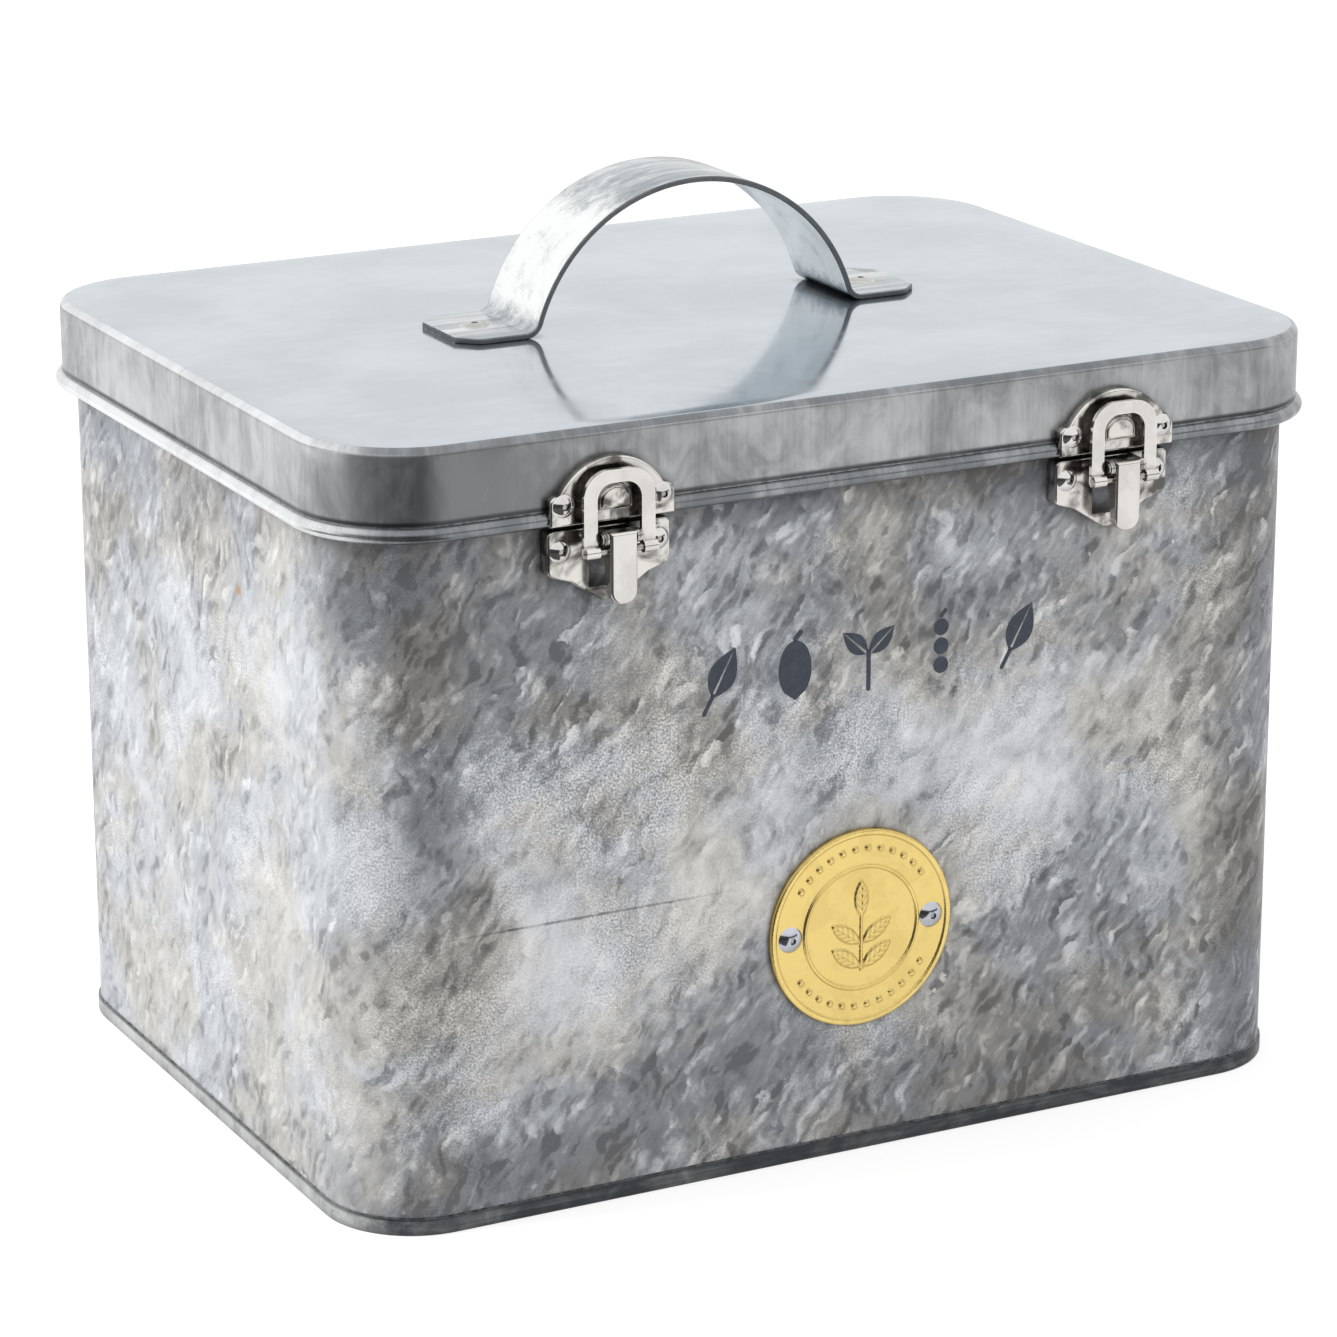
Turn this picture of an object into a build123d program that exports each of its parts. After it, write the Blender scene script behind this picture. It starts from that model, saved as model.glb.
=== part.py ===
"""Garden seed organizer box: a sheet-metal box with a hinged lid, a strap handle and two toggle latches.

Millimetres, +Z up. X runs along the front, the front faces -Y. The origin is on the surface that
the box stands on, under the middle of the body.
"""

import os
from math import sqrt

from build123d import *

os.makedirs("parts", exist_ok=True)

# ---------------------------------------------------------------- driving dimensions
# lid
lid_width = 225.0
lid_depth = 167.0
lid_corner_radius = 22.5
lid_top_height = 161.7  # top of the closed lid above the ground
lid_fold_radius = 1.8  # where the top folds down into the skirt
lid_sheet = 0.7
rim_drop = 17.0  # middle of the rolled rim at the foot of the skirt, below the lid's top
rim_height = 3.2
rim_proud = 1.4
rim_rounding = 1.0

# body
body_inset = 3.1  # the body stands this far inside the skirt, all round
body_sheet = 0.7
hem_height = 2.4
hem_proud = 0.8
hem_gap = 0.3  # between the body's hem and the underside of the closed lid

# base pan
seam_height = 3.8
seam_proud = 0.55
pan_sheet = 0.6
pan_floor_underside = 2.2
seam_rounding = 0.5

# handle strap
strap_width = 24.0
strap_sheet = 1.2
strap_half_span = 37.0  # where the arch meets the lid, from the middle
strap_rise = 29.0  # arch height above the feet, middle of the sheet
strap_bend_radius = 3.4  # middle of the sheet
foot_length = 17.0
foot_clip = 4.0
handle_rivet_distance = 45.8  # from the middle

# rivets
rivet_shank_radius = 1.1
rivet_hole_clearance = 0.05
rivet_tail_radius = 1.9
rivet_tail_height = 0.5
latch_head_radius = 2.3
latch_head_height = 1.1
plaque_head_radius = 2.75
plaque_head_height = 1.2
flat_head_radius = 3.1
flat_head_height = 0.7
hinge_head_radius = 2.2
hinge_head_height = 1.0
dimple_radius = 0.7
dimple_depth = 0.45

# latches: a drop or a rise is from the middle of the lid's rim, unless it says otherwise
latch_distance = 57.0  # from the middle to each latch
latch_sheet = 0.8
latch_edge_rounding = 0.5
latch_rivet_spacing = 21.2
strike_stand_off = 1.45  # inside of the strike plate, in front of the skirt
strike_radius = 12.8
strike_bottom_drop = 1.2
strike_pad_width = 26.8
strike_pad_height = 6.1
strike_pad_rounding = 1.5
strike_rivet_rise = 2.9
rim_slot_clearance = 0.15
hook_width = 7.6
hook_bottom_rise = 1.3
hook_length = 5.4
hook_proud = 1.5
hook_rounding = 1.2
base_front_stand_off = 3.6  # front of the base plate, in front of the body wall
base_width = 26.4
base_top_drop = 2.3
base_side_length = 9.1  # the straight sides, from the plate's top
base_shoulder_length = 10.6  # from the plate's top to its shoulders
base_shoulder_width = 17.0
base_length = 15.1  # from the plate's top to its point
base_point_width = 3.4
base_corner_rounding = 1.4
base_window_width = 9.0
base_window_height = 7.6
base_window_rise = 2.9  # above the plate's point
base_rivet_distance = 4.2  # below the plate's top
ear_thickness = 0.9
ear_boss_radius = 1.35
lever_axis_drop = 3.7
lever_axis_stand_off = 8.6  # from the body wall
lever_pin_radius = 0.75
lever_pin_head_radius = 1.1
lever_pin_head = 0.4
lever_width = 5.8
lever_sheet = 0.7
lever_above_axis = 1.3
lever_below_axis = 13.1
lever_front_distance = 1.6  # lever axis to the lever's face
lever_flange_depth = 3.1
lever_tip_flange_depth = 1.7
lever_tip_rounding = 2.6
lever_top_rounding = 0.6
side_clearance = 0.15  # lever to each ear
link_drop = 2.5  # link pin below the lever axis, latch closed
link_set_back = 0.2  # link pin behind the lever axis, latch closed
link_pin_radius = 0.7
pin_clearance = 0.05
loop_width = 15.3
loop_leg_width = 2.9
loop_sheet = 1.0
loop_set_back = 0.7  # loop sheet behind the link pin, so that it leans on the box
loop_length = 15.9  # from the link pin's axis to the loop's top
loop_bar_height = 2.6
loop_outer_rounding = 5.5
loop_window_rounding = 3.4
loop_eye_radius = 1.25
loop_edge_rounding = 0.25

# plaque
plaque_x = 1.2
plaque_height = 49.0
plaque_radius = 21.0
plaque_sheet = 0.9
plaque_rim_width = 1.3
plaque_relief = 0.4
plaque_ring_radius = 13.1
plaque_ring_width = 0.8
plaque_rivet_distance = 16.4
plaque_bead_count = 12  # raised dots in each of the two arcs between the rivets
plaque_bead_radius = 0.75
plaque_bead_circle = 17.0
plaque_bead_arc = 110.0  # degrees
leaf_length = 8.6
leaf_width = 3.6
leaf_pair_rise = 5.2
sprig_length = 19.0
sprig_width = 0.8
sprig_stem_share = 0.7  # of the sprig's length
sprig_top_leaf_share = 0.6  # where the top leaf starts, of the sprig's length
leaf_slope = 35.0  # degrees

# hinges: a drop or a rise is from the middle of the lid's rim
hinge_distance = 62.0
hinge_width = 26.0
hinge_sheet = 0.9
hinge_pin_radius = 1.25
hinge_rim_gap = 0.3  # knuckle to the lid's rim
hinge_side_gap = 0.2  # between knuckles
hinge_middle_knuckle = 10.0
hinge_leaf_height = 11.0
hinge_lid_leaf_rise = 3.7
hinge_body_leaf_drop = 5.3
hinge_rivet_spacing = 15.0
hinge_leaf_rounding = 2.5

# partition and cards
partition_sheet = 0.7
partition_drop = 33.9  # top of the partition, below the body's top
partition_flange = 11.0
partition_end_gap = 0.3
card_rows = 2
cards_per_row = 6
card_sheet = 0.9
card_drop = 29.9  # top of a card without its tab, below the body's top
card_side_gap = 1.5
card_corner_rounding = 3.0
tab_width = 28.0
tab_height = 9.0
tab_rounding = 3.0

# ---------------------------------------------------------------- worked-out places
body_width = lid_width - 2 * body_inset
body_depth = lid_depth - 2 * body_inset
body_corner_radius = lid_corner_radius - body_inset
body_top_height = lid_top_height - lid_sheet - hem_gap
rim_middle_height = lid_top_height - rim_drop
rim_bottom_height = rim_middle_height - rim_height / 2
rim_top_height = rim_middle_height + rim_height / 2
pan_floor_top = pan_floor_underside + pan_sheet
rivet_hole_radius = rivet_shank_radius + rivet_hole_clearance
cutter_margin = 5.0  # how far a cutter reaches past what it cuts
quarter_turn = 90.0  # degrees

strike_bottom_height = rim_middle_height - strike_bottom_drop
strike_rivet_height = rim_middle_height + strike_rivet_rise
hook_bottom_height = rim_middle_height + hook_bottom_rise
base_top_height = rim_middle_height - base_top_drop
base_side_height = base_top_height - base_side_length
base_shoulder_height = base_top_height - base_shoulder_length
base_point_height = base_top_height - base_length
base_window_bottom = base_point_height + base_window_rise
base_rivet_height = base_top_height - base_rivet_distance
lever_axis_height = rim_middle_height - lever_axis_drop
link_axis_height = lever_axis_height - link_drop
loop_top_height = link_axis_height + loop_length
hinge_lid_leaf_bottom = rim_middle_height + hinge_lid_leaf_rise
hinge_body_leaf_top = rim_middle_height - hinge_body_leaf_drop
partition_height = body_top_height - partition_drop - pan_floor_top
card_height = body_top_height - card_drop - pan_floor_top


def front_plane(x, stand_off, z=0):
    """Upright plane that faces forward, that far in front of the middle of the box."""
    return Plane(origin=(x, -stand_off, z), x_dir=(1, 0, 0), z_dir=(0, -1, 0))


def back_plane(x, stand_off, z=0):
    """Upright plane that faces backward, that far behind the middle of the box."""
    return Plane(origin=(x, stand_off, z), x_dir=(-1, 0, 0), z_dir=(0, 1, 0))


def make_rivet(head_radius, head_height, grip):
    """One rivet along Z: a domed head above Z = 0, a shank of that grip and a flat tail under it."""
    sphere_radius = (head_radius**2 + head_height**2) / (2 * head_height)

    def dome_height(r):
        return head_height - sphere_radius + sqrt(sphere_radius**2 - r**2)

    middle_radius = (head_radius + dimple_radius) / 2
    dimple_top = dome_height(dimple_radius)
    dimple_floor = dimple_top - min(dimple_depth, dimple_top / 2)
    with BuildPart() as rivet:
        with BuildSketch(Plane.XZ):
            with BuildLine():
                ThreePointArc(
                    (head_radius, 0),
                    (middle_radius, dome_height(middle_radius)),
                    (dimple_radius, dimple_top),
                )
                Polyline(
                    (dimple_radius, dimple_top),
                    (dimple_radius, dimple_floor),
                    (0, dimple_floor),
                    (0, -grip - rivet_tail_height),
                    (rivet_tail_radius, -grip - rivet_tail_height),
                    (rivet_tail_radius, -grip),
                    (rivet_shank_radius, -grip),
                    (rivet_shank_radius, 0),
                    (head_radius, 0),
                )
            make_face()
        revolve(axis=Axis.Z)
    return rivet.part


# ---------------------------------------------------------------- places of the fasteners
handle_rivet_places = [
    Plane(origin=(x, 0, lid_top_height + strap_sheet), z_dir=(0, 0, 1))
    for x in (-handle_rivet_distance, handle_rivet_distance)
]
plaque_front = body_depth / 2 + plaque_sheet
plaque_rivet_places = [
    front_plane(plaque_x + side * plaque_rivet_distance, plaque_front, plaque_height)
    for side in (-1, 1)
]
strike_front = lid_depth / 2 + strike_stand_off + latch_sheet
base_front = body_depth / 2 + base_front_stand_off
hinge_lid_rivet_height = hinge_lid_leaf_bottom + hinge_leaf_height / 2
hinge_body_rivet_height = hinge_body_leaf_top - hinge_leaf_height / 2


def strike_rivet_places(x):
    """Places of a strike plate's two rivets."""
    half = latch_rivet_spacing / 2
    return [front_plane(x + s * half, strike_front, strike_rivet_height) for s in (-1, 1)]


def base_rivet_places(x):
    """Places of a base plate's two rivets."""
    half = latch_rivet_spacing / 2
    return [front_plane(x + s * half, base_front, base_rivet_height) for s in (-1, 1)]


def hinge_lid_rivet_places(x):
    """Places of the two rivets that hold a hinge to the lid."""
    half = hinge_rivet_spacing / 2
    stand_off = lid_depth / 2 + hinge_sheet
    return [back_plane(x + s * half, stand_off, hinge_lid_rivet_height) for s in (-1, 1)]


def hinge_body_rivet_places(x):
    """Places of the two rivets that hold a hinge to the body."""
    half = hinge_rivet_spacing / 2
    stand_off = body_depth / 2 + hinge_sheet
    return [back_plane(x + s * half, stand_off, hinge_body_rivet_height) for s in (-1, 1)]


latch_sides = {"left": -latch_distance, "right": latch_distance}
hinge_sides = {"left": -hinge_distance, "right": hinge_distance}

# ---------------------------------------------------------------- body shell
with BuildPart() as body_shell:
    wall_bottom = pan_sheet
    with BuildSketch(Plane.XY.offset(wall_bottom)):
        RectangleRounded(body_width, body_depth, body_corner_radius)
    extrude(amount=body_top_height - wall_bottom)
    with BuildSketch(Plane.XY.offset(body_top_height - hem_height)):
        RectangleRounded(
            body_width + 2 * hem_proud, body_depth + 2 * hem_proud, body_corner_radius + hem_proud
        )
    extrude(amount=hem_height)
    hem_faces = body_shell.faces().filter_by(Axis.Z).sort_by(Axis.Z)
    fillet(hem_faces[-1].edges() + hem_faces[-2].outer_wire().edges(), hem_proud / 2)
    with BuildSketch(Plane.XY.offset(wall_bottom)):
        RectangleRounded(
            body_width - 2 * body_sheet, body_depth - 2 * body_sheet, body_corner_radius - body_sheet
        )
    extrude(amount=body_top_height, mode=Mode.SUBTRACT)
    for latch_x in latch_sides.values():
        with Locations(*base_rivet_places(latch_x)):
            Hole(rivet_hole_radius, depth=base_front_stand_off + 2 * body_sheet)
    for hinge_x in hinge_sides.values():
        with Locations(*hinge_body_rivet_places(hinge_x)):
            Hole(rivet_hole_radius, depth=hinge_sheet + 2 * body_sheet)
    with Locations(*plaque_rivet_places):
        Hole(rivet_hole_radius, depth=plaque_sheet + 2 * body_sheet)
body_shell.part.label = "body_shell"
export_step(body_shell.part, "parts/body_shell.step")

# ---------------------------------------------------------------- base pan
# The pan's edge is a channel that holds the foot of the wall; its floor stands clear of the ground.
with BuildPart() as base_pan:
    with BuildSketch():
        RectangleRounded(
            body_width + 2 * seam_proud, body_depth + 2 * seam_proud, body_corner_radius + seam_proud
        )
    extrude(amount=seam_height)
    pan_faces = base_pan.faces().filter_by(Axis.Z).sort_by(Axis.Z)
    fillet(pan_faces[-1].edges() + pan_faces[0].edges(), seam_rounding)
    with BuildSketch(Plane.XY.offset(pan_sheet)):
        RectangleRounded(body_width, body_depth, body_corner_radius)
        RectangleRounded(
            body_width - 2 * body_sheet,
            body_depth - 2 * body_sheet,
            body_corner_radius - body_sheet,
            mode=Mode.SUBTRACT,
        )
    extrude(amount=seam_height, mode=Mode.SUBTRACT)
    channel_width = body_sheet + pan_sheet
    for recess_bottom, recess_height in (
        (0, pan_floor_underside),
        (pan_floor_top, seam_height),
    ):
        with BuildSketch(Plane.XY.offset(recess_bottom)):
            RectangleRounded(
                body_width - 2 * channel_width,
                body_depth - 2 * channel_width,
                body_corner_radius - channel_width,
            )
        extrude(amount=recess_height, mode=Mode.SUBTRACT)
base_pan.part.label = "base_pan"
export_step(base_pan.part, "parts/base_pan.step")

# ---------------------------------------------------------------- lid shell
with BuildPart() as lid_shell:
    with BuildSketch(Plane.XY.offset(rim_bottom_height)):
        RectangleRounded(lid_width, lid_depth, lid_corner_radius)
    extrude(amount=lid_top_height - rim_bottom_height)
    lid_top = lid_shell.faces().sort_by(Axis.Z)[-1]
    fillet(lid_top.edges(), lid_fold_radius)
    with BuildSketch(Plane.XY.offset(rim_bottom_height)):
        RectangleRounded(
            lid_width + 2 * rim_proud, lid_depth + 2 * rim_proud, lid_corner_radius + rim_proud
        )
    extrude(amount=rim_height)
    rim_faces = lid_shell.faces().filter_by(Axis.Z).sort_by(Axis.Z)
    fillet(rim_faces[0].edges() + rim_faces[1].outer_wire().edges(), rim_rounding)
    cavity_height = lid_top_height - lid_sheet - rim_bottom_height
    with BuildSketch(Plane.XY.offset(rim_bottom_height)):
        RectangleRounded(
            lid_width - 2 * lid_sheet, lid_depth - 2 * lid_sheet, lid_corner_radius - lid_sheet
        )
    extrude(amount=cavity_height, mode=Mode.SUBTRACT)
    with Locations(*handle_rivet_places):
        Hole(rivet_hole_radius, depth=strap_sheet + 2 * lid_sheet)
    for latch_x in latch_sides.values():
        with Locations(*strike_rivet_places(latch_x)):
            Hole(rivet_hole_radius, depth=strike_stand_off + latch_sheet + 2 * lid_sheet)
    for hinge_x in hinge_sides.values():
        with Locations(*hinge_lid_rivet_places(hinge_x)):
            Hole(rivet_hole_radius, depth=hinge_sheet + 2 * lid_sheet)
lid_shell.part.label = "lid_shell"
export_step(lid_shell.part, "parts/lid_shell.step")

# ---------------------------------------------------------------- handle strap
# The middle line of the strap: a foot, a bend, the big arc, a bend and the other foot.
foot_middle = lid_top_height + strap_sheet / 2
arch_radius = (strap_half_span**2 + strap_rise**2) / (2 * strap_rise)
arch_middle = foot_middle + strap_rise - arch_radius
bend_middle_z = foot_middle + strap_bend_radius
bend_middle_x = sqrt((arch_radius + strap_bend_radius) ** 2 - (bend_middle_z - arch_middle) ** 2)
bend_share = arch_radius / (arch_radius + strap_bend_radius)
bend_end_x = bend_middle_x * bend_share
bend_end_z = arch_middle + (bend_middle_z - arch_middle) * bend_share
chord_x = (bend_middle_x + bend_end_x) / 2 - bend_middle_x
chord_z = (foot_middle + bend_end_z) / 2 - bend_middle_z
chord = sqrt(chord_x**2 + chord_z**2)
bend_half_x = bend_middle_x + chord_x * strap_bend_radius / chord
bend_half_z = bend_middle_z + chord_z * strap_bend_radius / chord
foot_end = strap_half_span + foot_length
with BuildPart() as handle_strap:
    with BuildSketch(Plane.XZ):
        with BuildLine() as strap_line:
            Line((-foot_end, foot_middle), (-bend_middle_x, foot_middle))
            ThreePointArc(
                (-bend_middle_x, foot_middle), (-bend_half_x, bend_half_z), (-bend_end_x, bend_end_z)
            )
            ThreePointArc(
                (-bend_end_x, bend_end_z), (0, foot_middle + strap_rise), (bend_end_x, bend_end_z)
            )
            ThreePointArc(
                (bend_end_x, bend_end_z), (bend_half_x, bend_half_z), (bend_middle_x, foot_middle)
            )
            Line((bend_middle_x, foot_middle), (foot_end, foot_middle))
        trace(line_width=strap_sheet)
    extrude(amount=strap_width / 2, both=True)
    upright_edges = handle_strap.edges().filter_by(Axis.Z)
    chamfer(upright_edges, foot_clip)
    with Locations(*handle_rivet_places):
        Hole(rivet_hole_radius, depth=2 * strap_sheet)
handle_strap.part.label = "handle_strap"
export_step(handle_strap.part, "parts/handle_strap.step")

handle_rivet = make_rivet(flat_head_radius, flat_head_height, strap_sheet + lid_sheet)
with BuildPart() as handle_rivets:
    with Locations(*handle_rivet_places):
        add(handle_rivet)
handle_rivets.part.label = "handle_rivets"
export_step(handle_rivets.part, "parts/handle_rivets.step")

# ---------------------------------------------------------------- latches
lever_axis_y = -(body_depth / 2 + lever_axis_stand_off)
link_axis_y = lever_axis_y + link_set_back
lever_front_y = lever_axis_y - lever_front_distance
loop_middle_y = link_axis_y + loop_set_back
loop_front_y = loop_middle_y - loop_sheet / 2
ear_inner = lever_width / 2 + side_clearance
ear_outer = ear_inner + ear_thickness

strike_rivet = make_rivet(
    latch_head_radius, latch_head_height, latch_sheet + strike_stand_off + lid_sheet
)
base_rivet = make_rivet(latch_head_radius, latch_head_height, base_front_stand_off + body_sheet)

for side, latch_x in latch_sides.items():
    # strike plate: a shallow pressed cup on the skirt, notched over the rolled rim, with its hook
    with BuildPart() as strike_plate:
        with BuildSketch(front_plane(latch_x, lid_depth / 2)) as strike_outline:
            with Locations((0, strike_bottom_height)):
                Circle(strike_radius)
                Rectangle(
                    2 * strike_radius + cutter_margin,
                    strike_radius + cutter_margin,
                    align=(Align.CENTER, Align.MAX),
                    mode=Mode.SUBTRACT,
                )
                Rectangle(strike_pad_width, strike_pad_height, align=(Align.CENTER, Align.MIN))
            pad_corners = strike_outline.vertices().group_by(Axis.X)
            fillet(
                pad_corners[0].sort_by(Axis.Y)[-1:] + pad_corners[-1].sort_by(Axis.Y)[-1:],
                strike_pad_rounding,
            )
        extrude(amount=strike_stand_off + latch_sheet)
        fillet(strike_plate.faces().sort_by(Axis.Y)[0].edges(), latch_edge_rounding)
        with BuildSketch(front_plane(latch_x, lid_depth / 2)):
            add(strike_outline.sketch_local)
            offset(amount=-latch_sheet, mode=Mode.REPLACE)
        extrude(amount=strike_stand_off, mode=Mode.SUBTRACT)
        with BuildSketch(front_plane(latch_x, lid_depth / 2)):
            with Locations((0, strike_bottom_height)):
                Rectangle(
                    strike_pad_width + cutter_margin,
                    rim_top_height + rim_slot_clearance - strike_bottom_height,
                    align=(Align.CENTER, Align.MIN),
                )
        extrude(amount=strike_stand_off, mode=Mode.SUBTRACT)
        with BuildSketch(front_plane(latch_x, strike_front)):
            with Locations((0, hook_bottom_height)):
                Rectangle(
                    hook_width, hook_length - hook_width / 2, align=(Align.CENTER, Align.MIN)
                )
            with Locations((0, hook_bottom_height + hook_length - hook_width / 2)):
                Circle(hook_width / 2)
            with Locations((0, hook_bottom_height)):
                Rectangle(
                    hook_width, hook_width, align=(Align.CENTER, Align.MAX), mode=Mode.SUBTRACT
                )
        extrude(amount=hook_proud)
        fillet(strike_plate.faces().sort_by(Axis.Y)[0].edges(), hook_rounding)
        with Locations(*strike_rivet_places(latch_x)):
            Hole(rivet_hole_radius, depth=2 * latch_sheet)
    strike_plate.part.label = f"strike_plate_{side}"
    export_step(strike_plate.part, f"parts/strike_plate_{side}.step")

    with BuildPart() as strike_rivets:
        with Locations(*strike_rivet_places(latch_x)):
            add(strike_rivet)
    strike_rivets.part.label = f"strike_rivets_{side}"
    export_step(strike_rivets.part, f"parts/strike_rivets_{side}.step")

    # base plate: a pressed shield on the body with two ears for the lever, bent out of its window
    with BuildPart() as latch_base:
        with BuildSketch(front_plane(latch_x, body_depth / 2)) as base_outline:
            with BuildLine():
                Polyline(
                    (-base_width / 2, base_top_height),
                    (-base_width / 2, base_side_height),
                    (-base_shoulder_width / 2, base_shoulder_height),
                    (-base_point_width / 2, base_point_height),
                    (base_point_width / 2, base_point_height),
                    (base_shoulder_width / 2, base_shoulder_height),
                    (base_width / 2, base_side_height),
                    (base_width / 2, base_top_height),
                    close=True,
                )
            make_face()
            fillet(base_outline.vertices(), base_corner_rounding)
        extrude(amount=base_front_stand_off)
        fillet(latch_base.faces().sort_by(Axis.Y)[0].edges(), latch_edge_rounding)
        with BuildSketch(front_plane(latch_x, body_depth / 2)):
            add(base_outline.sketch_local)
            offset(amount=-latch_sheet, mode=Mode.REPLACE)
        extrude(amount=base_front_stand_off - latch_sheet, mode=Mode.SUBTRACT)
        with BuildSketch(front_plane(latch_x, body_depth / 2)):
            with Locations((0, base_window_bottom)):
                Rectangle(
                    base_window_width, base_window_height, align=(Align.CENTER, Align.MIN)
                )
        extrude(amount=base_front_stand_off, mode=Mode.SUBTRACT)
        ear_root_y = -base_front + latch_sheet / 2
        for ear_side in (-1, 1):
            ear_start = latch_x + ear_side * (ear_inner + ear_outer) / 2
            with BuildSketch(Plane.YZ.offset(ear_start)):
                with Locations((lever_axis_y, lever_axis_height)):
                    Circle(ear_boss_radius)
                    Rectangle(
                        ear_root_y - lever_axis_y,
                        2 * ear_boss_radius,
                        align=(Align.MIN, Align.CENTER),
                    )
                    Circle(lever_pin_radius + pin_clearance, mode=Mode.SUBTRACT)
            extrude(amount=ear_thickness / 2, both=True)
        with Locations(*base_rivet_places(latch_x)):
            Hole(rivet_hole_radius, depth=2 * latch_sheet)
    latch_base.part.label = f"latch_base_{side}"
    export_step(latch_base.part, f"parts/latch_base_{side}.step")

    with BuildPart() as base_rivets:
        with Locations(*base_rivet_places(latch_x)):
            add(base_rivet)
    base_rivets.part.label = f"latch_base_rivets_{side}"
    export_step(base_rivets.part, f"parts/latch_base_rivets_{side}.step")

    # lever: a pressed trough with a round tip, open toward the box
    with BuildPart() as lever:
        lever_length = lever_above_axis + lever_below_axis
        with BuildSketch(front_plane(latch_x, -lever_front_y)) as lever_outline:
            with Locations((0, lever_axis_height + lever_above_axis)):
                Rectangle(lever_width, lever_length, align=(Align.CENTER, Align.MAX))
            lever_corners = lever_outline.vertices().group_by(Axis.Y)
            fillet(lever_corners[0], lever_tip_rounding)
            fillet(lever_corners[-1], lever_top_rounding)
        extrude(amount=-lever_flange_depth)
        fillet(lever.faces().sort_by(Axis.Y)[0].edges(), lever_top_rounding)
        with BuildSketch(Plane.YZ.offset(latch_x)):
            with BuildLine():
                Polyline(
                    (lever_front_y + lever_flange_depth, link_axis_height - ear_boss_radius),
                    (lever_front_y + lever_tip_flange_depth, lever_axis_height - lever_below_axis),
                    (lever_front_y + 2 * lever_flange_depth, lever_axis_height - lever_length),
                    close=True,
                )
            make_face()
        extrude(amount=lever_width, both=True, mode=Mode.SUBTRACT)
        with BuildSketch(front_plane(latch_x, -lever_front_y - lever_sheet)):
            add(lever_outline.sketch_local)
            offset(amount=-lever_sheet, mode=Mode.REPLACE)
        extrude(amount=-lever_flange_depth, mode=Mode.SUBTRACT)
        with BuildSketch(Plane.YZ.offset(latch_x)):
            with Locations((lever_axis_y, lever_axis_height)):
                Circle(lever_pin_radius + pin_clearance)
            with Locations((link_axis_y, link_axis_height)):
                Circle(link_pin_radius + pin_clearance)
        extrude(amount=lever_width, both=True, mode=Mode.SUBTRACT)
    lever.part.label = f"latch_lever_{side}"
    export_step(lever.part, f"parts/latch_lever_{side}.step")

    with BuildPart() as lever_pin:
        with BuildSketch(Plane.YZ.offset(latch_x)):
            with Locations((lever_axis_y, lever_axis_height)):
                Circle(lever_pin_radius)
        extrude(amount=ear_outer + lever_pin_head, both=True)
        for head_side in (-1, 1):
            head_start = latch_x + head_side * (ear_outer + lever_pin_head / 2)
            with BuildSketch(Plane.YZ.offset(head_start)):
                with Locations((lever_axis_y, lever_axis_height)):
                    Circle(lever_pin_head_radius)
            extrude(amount=lever_pin_head / 2, both=True)
    lever_pin.part.label = f"lever_pin_{side}"
    export_step(lever_pin.part, f"parts/lever_pin_{side}.step")

    with BuildPart() as link_pin:
        with BuildSketch(Plane.YZ.offset(latch_x)):
            with Locations((link_axis_y, link_axis_height)):
                Circle(link_pin_radius)
        extrude(amount=loop_width / 2, both=True)
        link_pin_ends = link_pin.edges().group_by(Axis.X)
        chamfer(link_pin_ends[0] + link_pin_ends[-1], pin_clearance)
    link_pin.part.label = f"link_pin_{side}"
    export_step(link_pin.part, f"parts/link_pin_{side}.step")

    # loop: a flat bow whose two legs end in eyes on the link pin
    with BuildPart() as loop:
        loop_window_width = loop_width - 2 * loop_leg_width
        with BuildSketch(front_plane(latch_x, -loop_front_y)) as loop_outline:
            with Locations((0, loop_top_height)):
                Rectangle(
                    loop_width, loop_top_height - link_axis_height, align=(Align.CENTER, Align.MAX)
                )
            fillet(loop_outline.vertices().group_by(Axis.Y)[-1], loop_outer_rounding)
        extrude(amount=-loop_sheet)
        with BuildSketch(Plane.YZ.offset(latch_x)):
            with Locations((link_axis_y, link_axis_height)):
                Circle(loop_eye_radius)
        extrude(amount=loop_width / 2, both=True)
        with BuildSketch(front_plane(latch_x, -loop_front_y)) as loop_window:
            with Locations((0, loop_top_height - loop_bar_height)):
                Rectangle(
                    loop_window_width,
                    loop_top_height - loop_bar_height - link_axis_height + cutter_margin,
                    align=(Align.CENTER, Align.MAX),
                )
            fillet(loop_window.vertices().group_by(Axis.Y)[-1], loop_window_rounding)
        extrude(amount=cutter_margin, both=True, mode=Mode.SUBTRACT)
        fillet(loop.faces().sort_by(Axis.Y)[0].edges().group_by(Axis.Z)[-1], loop_edge_rounding)
        with BuildSketch(Plane.YZ.offset(latch_x)):
            with Locations((link_axis_y, link_axis_height)):
                Circle(link_pin_radius + pin_clearance)
        extrude(amount=loop_width, both=True, mode=Mode.SUBTRACT)
    loop.part.label = f"latch_loop_{side}"
    export_step(loop.part, f"parts/latch_loop_{side}.step")

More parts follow.
